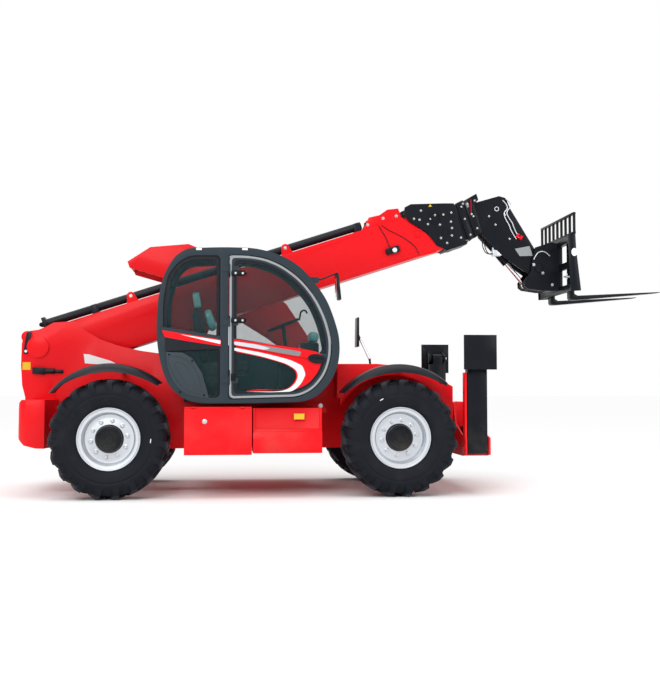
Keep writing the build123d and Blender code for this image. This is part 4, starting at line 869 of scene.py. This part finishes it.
boltPlan = {
    "hinge_bolts": (door, 0.008, 0.0018, toNear, spread(hingeBolts, proud)),
    "boom_bracket_bolts": ("boom_base", 0.012, 0.01, toNear,
                           spread(tubeBolts, -0.106, onBoom) + spread(plateBolts, -0.13, onBoom)),
    "head_bolts": ("boom_base", 0.009, 0.01, toNear, spread(headBolts, headOut, onBoom)),
    "head_bolts_far": ("boom_base", 0.009, 0.01, toFar, spread(headBolts, -headOut, onBoom)),
    "section_1_bolts": ("boom_section_1", 0.008, 0.008, toNear, spread(section1Bolts, -0.172, onBoom)),
    "section_2_bolts": ("boom_section_2", 0.008, 0.008, toNear, spread(section2Bolts, -0.166, onBoom)),
    "carriage_bolts": ("carriage", 0.012, 0.012, toNear,
                       spread([(2.346, 2.54), (2.235, 2.64), (2.46, 2.4)], carriageOut)),
    "cover_lug_bolt": ("chassis", 0.016, 0.012, toNear, spread([(-0.376, 0.965)], coverOut)),
    "leg_pin_heads": ("chassis", 0.016, 0.012, (1, 0, 0), legPins),
}
for name, (body, radius, height, axis, places) in boltPlan.items():
    Build().bolts(places, axis, radius, height).piece(name, "zincBolt", body)
screws = [(-2.018, 1.508), (-1.775, 1.445), (-1.652, 1.085), (-1.902, 1.119)]
heads = Build().bolts(spread(screws, panelOut), toNear, 0.008, 0.005, 12)
heads.piece("panel_screws", "blackPaint", "chassis")

# rods and pipes: look, body, edge radius, then ends, radius and sides of each
rodPlan = {
    "boom_fittings": ("blackPaint", "boom_base", 0.002, [
        (onBoom(4.1, -0.1, 0.24), onBoom(4.1, 0.1, 0.24), 0.035, 20),
        (onBoom(4.34, -0.1, 0.3), onBoom(4.34, 0.1, 0.3), 0.03, 20),
        (onBoom(4.0, -0.06, 0.258), onBoom(4.45, -0.06, 0.24), 0.016, 12),
        (onBoom(4.0, -0.02, 0.258), onBoom(4.45, -0.02, 0.24), 0.016, 12),
        *[(onBoom(u, -0.05, 0.258), onBoom(u, 0.05, 0.258), 0.026, 14) for u in (0.072, 0.1, 0.128)]]),
    "carriage_lock": ("silverPaint", "carriage", 0.0, [
        ((2.5, -0.45, 2.462), (2.565, -0.45, 2.462), 0.011, 12),
        ((2.535, -0.45, 2.44), (2.535, -0.45, 2.5), 0.009, 12)]),
    "tail_marker": ("blackPlastic", "chassis", 0.004, [
        ((-3.435, railOut - 0.02, 1.352), (-3.33, railOut - 0.02, 1.352), 0.03, 20),
        ((-3.33, railOut - 0.018, 1.35), (-3.24, railOut - 0.014, 1.346), 0.02, 16)]),
    "mirror_post": ("silverPaint", "chassis", 0.0, [
        ((0.357, 0.612, 1.52), (0.272, 0.869, 1.787), 0.0165, 16)]),
}
for name, (look, body, width, rows) in rodPlan.items():
    build = Build()
    for start, end, radius, sides in rows:
        build.tube([start, end], radius, sides)
    build.piece(name, look, body, width)
print("stage: discs, plates, bolts, rods")


# a cord along parabolas between the middles of its route
def hose(name, diameter, body, look, stiffness, route):
    route = np.asarray(route, float)
    curve = bpy.data.curves.new(name + "Curve", "CURVE")
    curve.dimensions = "3D"
    spline = curve.splines.new("NURBS")
    spline.points.add(len(route) - 1)
    spline.points.foreach_set("co", np.hstack([route, np.ones((len(route), 1))]).ravel())
    spline.order_u = 3
    spline.use_endpoint_u = True
    spline.resolution_u = 8
    curve.bevel_depth = diameter / 2
    curve.bevel_resolution = 4
    curve.use_fill_caps = True
    curve.materials.append(looks[look])
    obj = addObject(name, curve)
    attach(obj, body)


# cords: diameter, body, look, stiffness, route
lampRoute = [(4.136, 0.176), (4.15, 0.1), (4.172, 0.03), (4.175, -0.06), (4.18, -0.112), (4.205, -0.135)]
trimRoute = [(4.17, 0.176), (4.21, 0.11), (4.312, 0.019), (4.4, -0.075), (4.45, -0.15), (4.484, -0.215),
             (4.488, -0.29)]
cordPlan = {
    "lamp_cable": (0.009, "boom_base", "blackPlastic", "medium", spread(lampRoute, boomOut - 0.007, onBoom)),
    "trim_cable": (0.008, "boom_base", "blackPlastic", "medium", spread(trimRoute, boomOut - 0.007, onBoom)),
    "jib_hose_a": (0.014, "boom_section_3", "silverPaint", "stiff", [(1.9, -0.125, 3.435), *spread([
        (1.955, 3.395), (1.972, 3.34), (1.905, 3.275), (1.935, 3.205), (1.985, 3.14), (2.0, 3.075),
        (2.06, 2.965)], -0.128)]),
    "jib_hose_b": (0.014, "boom_section_3", "silverPaint", "stiff", [(1.865, -0.125, 3.415), *spread([
        (1.915, 3.365), (1.925, 3.31), (1.875, 3.262), (1.895, 3.19), (1.945, 3.115), (1.965, 3.04),
        (2.03, 2.945)], -0.128)]),
    "carriage_hose": (0.014, "carriage", "silverPaint", "stiff", [
        (2.235, -0.152, 2.7), (2.26, -0.165, 2.765), (2.315, -0.17, 2.8), (2.385, -0.165, 2.79),
        (2.43, -0.155, 2.745)]),
}
for name, y, shift in (("jib_loop_1", -0.085, 0.0), ("jib_loop_2", -0.055, 0.035)):
    cordPlan[name] = (0.012, "boom_section_3", "blackPlastic", "medium", spread([
        (1.69, 3.06), (1.64 + shift, 3.0), (1.618 + shift, 2.93), (1.632 + shift, 2.83),
        (1.68 + shift, 2.76), (1.748, 2.775)], y))
for name, plan in cordPlan.items():
    hose(name, *plan)
print("stage: cords")

# the tower's lever, the toolbox lock and the lug between steps and tyre
leverLine = [(-3.645, 1.79), (-3.59, 1.79), (-3.625, 1.54), (-3.682, 1.545)]
lever = Build().prism(softened(leverLine, 0.025), railOut - 0.02, railOut - 0.002)
lever.piece("tower_lever", "blackPlastic", "chassis", 0.004)
lockDisc = [(0.0, 0.0026), (0.018, 0.0026), (0.022, 0.0014), (0.026, -0.001)]
lock = Build().turned(lockDisc, (-1.645, lidOut, 0.811), toNear, 28)
lock.box((-1.65, lidOut - 0.0029, 0.8), (-1.64, lidOut - 0.001, 0.822))
lock.piece("toolbox_lock", "zincBolt", "toolbox_lid", 0.0008)
lugLine = [(-0.52, 0.985), (-0.43, 0.995), (-0.33, 0.96), (-0.29, 0.9), (-0.35, 0.88), (-0.52, 0.94)]
Build().prism(softened(lugLine, 0.03), coverOut, -0.622).piece("cover_lug", "redPaint", "chassis", 0.003)

# lamp glasses, rounded rectangles across the machine: look, reach, two depths, two heights, ends
lensPlan = {
    "head_lamp_lenses": ("lampLens", 0.015, 1.4695, 1.4725, 0.715, 0.765, [(0.42, 0.54), (-0.54, -0.42)]),
    "tail_lenses": ("redPaint", 0.006, -3.5765, -3.5745, 1.33, 1.385, [(-0.318, -0.294), (0.294, 0.318)]),
}
for name, (look, reach, back, front, bottom, top, rows) in lensPlan.items():
    build = Build()
    for left, right in rows:
        outline = [(left, bottom), (right, bottom), (right, top), (left, top)]
        build.prism(softened(outline, reach), back, front, across)
    build.piece(name, look, "chassis")

# a short bright dash on the near sidewalls: X, Z and its slope
markPlan = dict(marks={"front_right": (0.226, 1.034, 0.55), "rear_right": (-2.195, 0.612, 1.5)}, half=0.02,
                wide=0.45, depths=(-1.21005, -1.204))
for tag, (x, z, slope) in markPlan["marks"].items():
    at = np.array((x, z))
    along = markPlan["half"] * np.array((math.cos(slope), math.sin(slope)))
    aside = markPlan["wide"] * np.array((-along[1], along[0]))
    mark = [at - along, at + along, at + along + aside, at - along + aside]
    Build().prism(mark, *markPlan["depths"]).piece("tyre_mark_" + tag, "whiteDecal", bodyOf["tyre_" + tag])
print("stage: lower body")

floorMesh = bpy.data.meshes.new("floorMesh")
floorMesh.from_pydata([(-80, -60, 0), (80, -60, 0), (80, 160, 0), (-80, 160, 0)], [], [(0, 1, 2, 3)])
floor = addObject("floor", floorMesh)
Shader("floorPale").set(Base_Color=(0.9, 0.9, 0.9), Roughness=0.9, Specular_IOR_Level=0.0)
floorMesh.materials.append(looks["floorPale"])

lightPlan = {
    "ambient": 0.5,
    "sun": dict(turn=(0.1, -0.12, 0.0), spread=70.0, strength=1.85),
    "key": dict(at=(-5.0, -12.0, 7.5), look=(-0.5, 0.0, 1.2), size=6.0, power=760.0),
    "rim": dict(at=(7.0, -7.0, 4.5), look=(1.5, 0.0, 2.0), size=4.0, power=200.0),
}
# the world is white to the camera and in reflections, and gives only the ambient level as light
world = bpy.data.worlds.new("studio")
scene.world = world
world.use_nodes = True
tree = world.node_tree
path = tree.nodes.new("ShaderNodeLightPath")
seen = path.outputs["Is Camera Ray"]
for ray in ("Is Glossy Ray", "Is Transmission Ray"):
    joined = tree.nodes.new("ShaderNodeMath")
    joined.operation = "MAXIMUM"
    tree.links.new(seen, joined.inputs[0])
    tree.links.new(path.outputs[ray], joined.inputs[1])
    seen = joined.outputs[0]
level = tree.nodes.new("ShaderNodeMapRange")
level.inputs[3].default_value = lightPlan["ambient"]
level.inputs[4].default_value = 1.0
tree.links.new(seen, level.inputs[0])
tree.nodes["Background"].inputs[0].default_value = (1.0, 1.0, 1.0, 1.0)
tree.links.new(level.outputs[0], tree.nodes["Background"].inputs[1])

sunData = bpy.data.lights.new("sun", "SUN")
sunData.energy = lightPlan["sun"]["strength"]
sunData.angle = math.radians(lightPlan["sun"]["spread"])
addObject("sun", sunData).rotation_euler = lightPlan["sun"]["turn"]
for name in ("key", "rim"):
    plan = lightPlan[name]
    data = bpy.data.lights.new(name, "AREA")
    data.size = plan["size"]
    data.energy = plan["power"]
    lamp = addObject(name, data)
    lamp.location = plan["at"]
    lamp.rotation_euler = (Vector(plan["look"]) - Vector(plan["at"])).to_track_quat("-Z", "Y").to_euler()

cameraPlan = dict(at=(-1.416, -11.725, 1.1475), yaw=0.10295, pitch=0.05039, lens=52.96)
cameraData = bpy.data.cameras.new("view")
cameraData.lens = cameraPlan["lens"]
camera = addObject("view", cameraData)
yaw, pitch = cameraPlan["yaw"], cameraPlan["pitch"]
camera.location = cameraPlan["at"]
facing = Vector((math.sin(yaw) * math.cos(pitch), math.cos(yaw) * math.cos(pitch), math.sin(pitch)))
camera.rotation_euler = facing.to_track_quat("-Z", "Y").to_euler()
scene.camera = camera
scene.view_settings.view_transform = "Standard"
print("stage: camera and light")
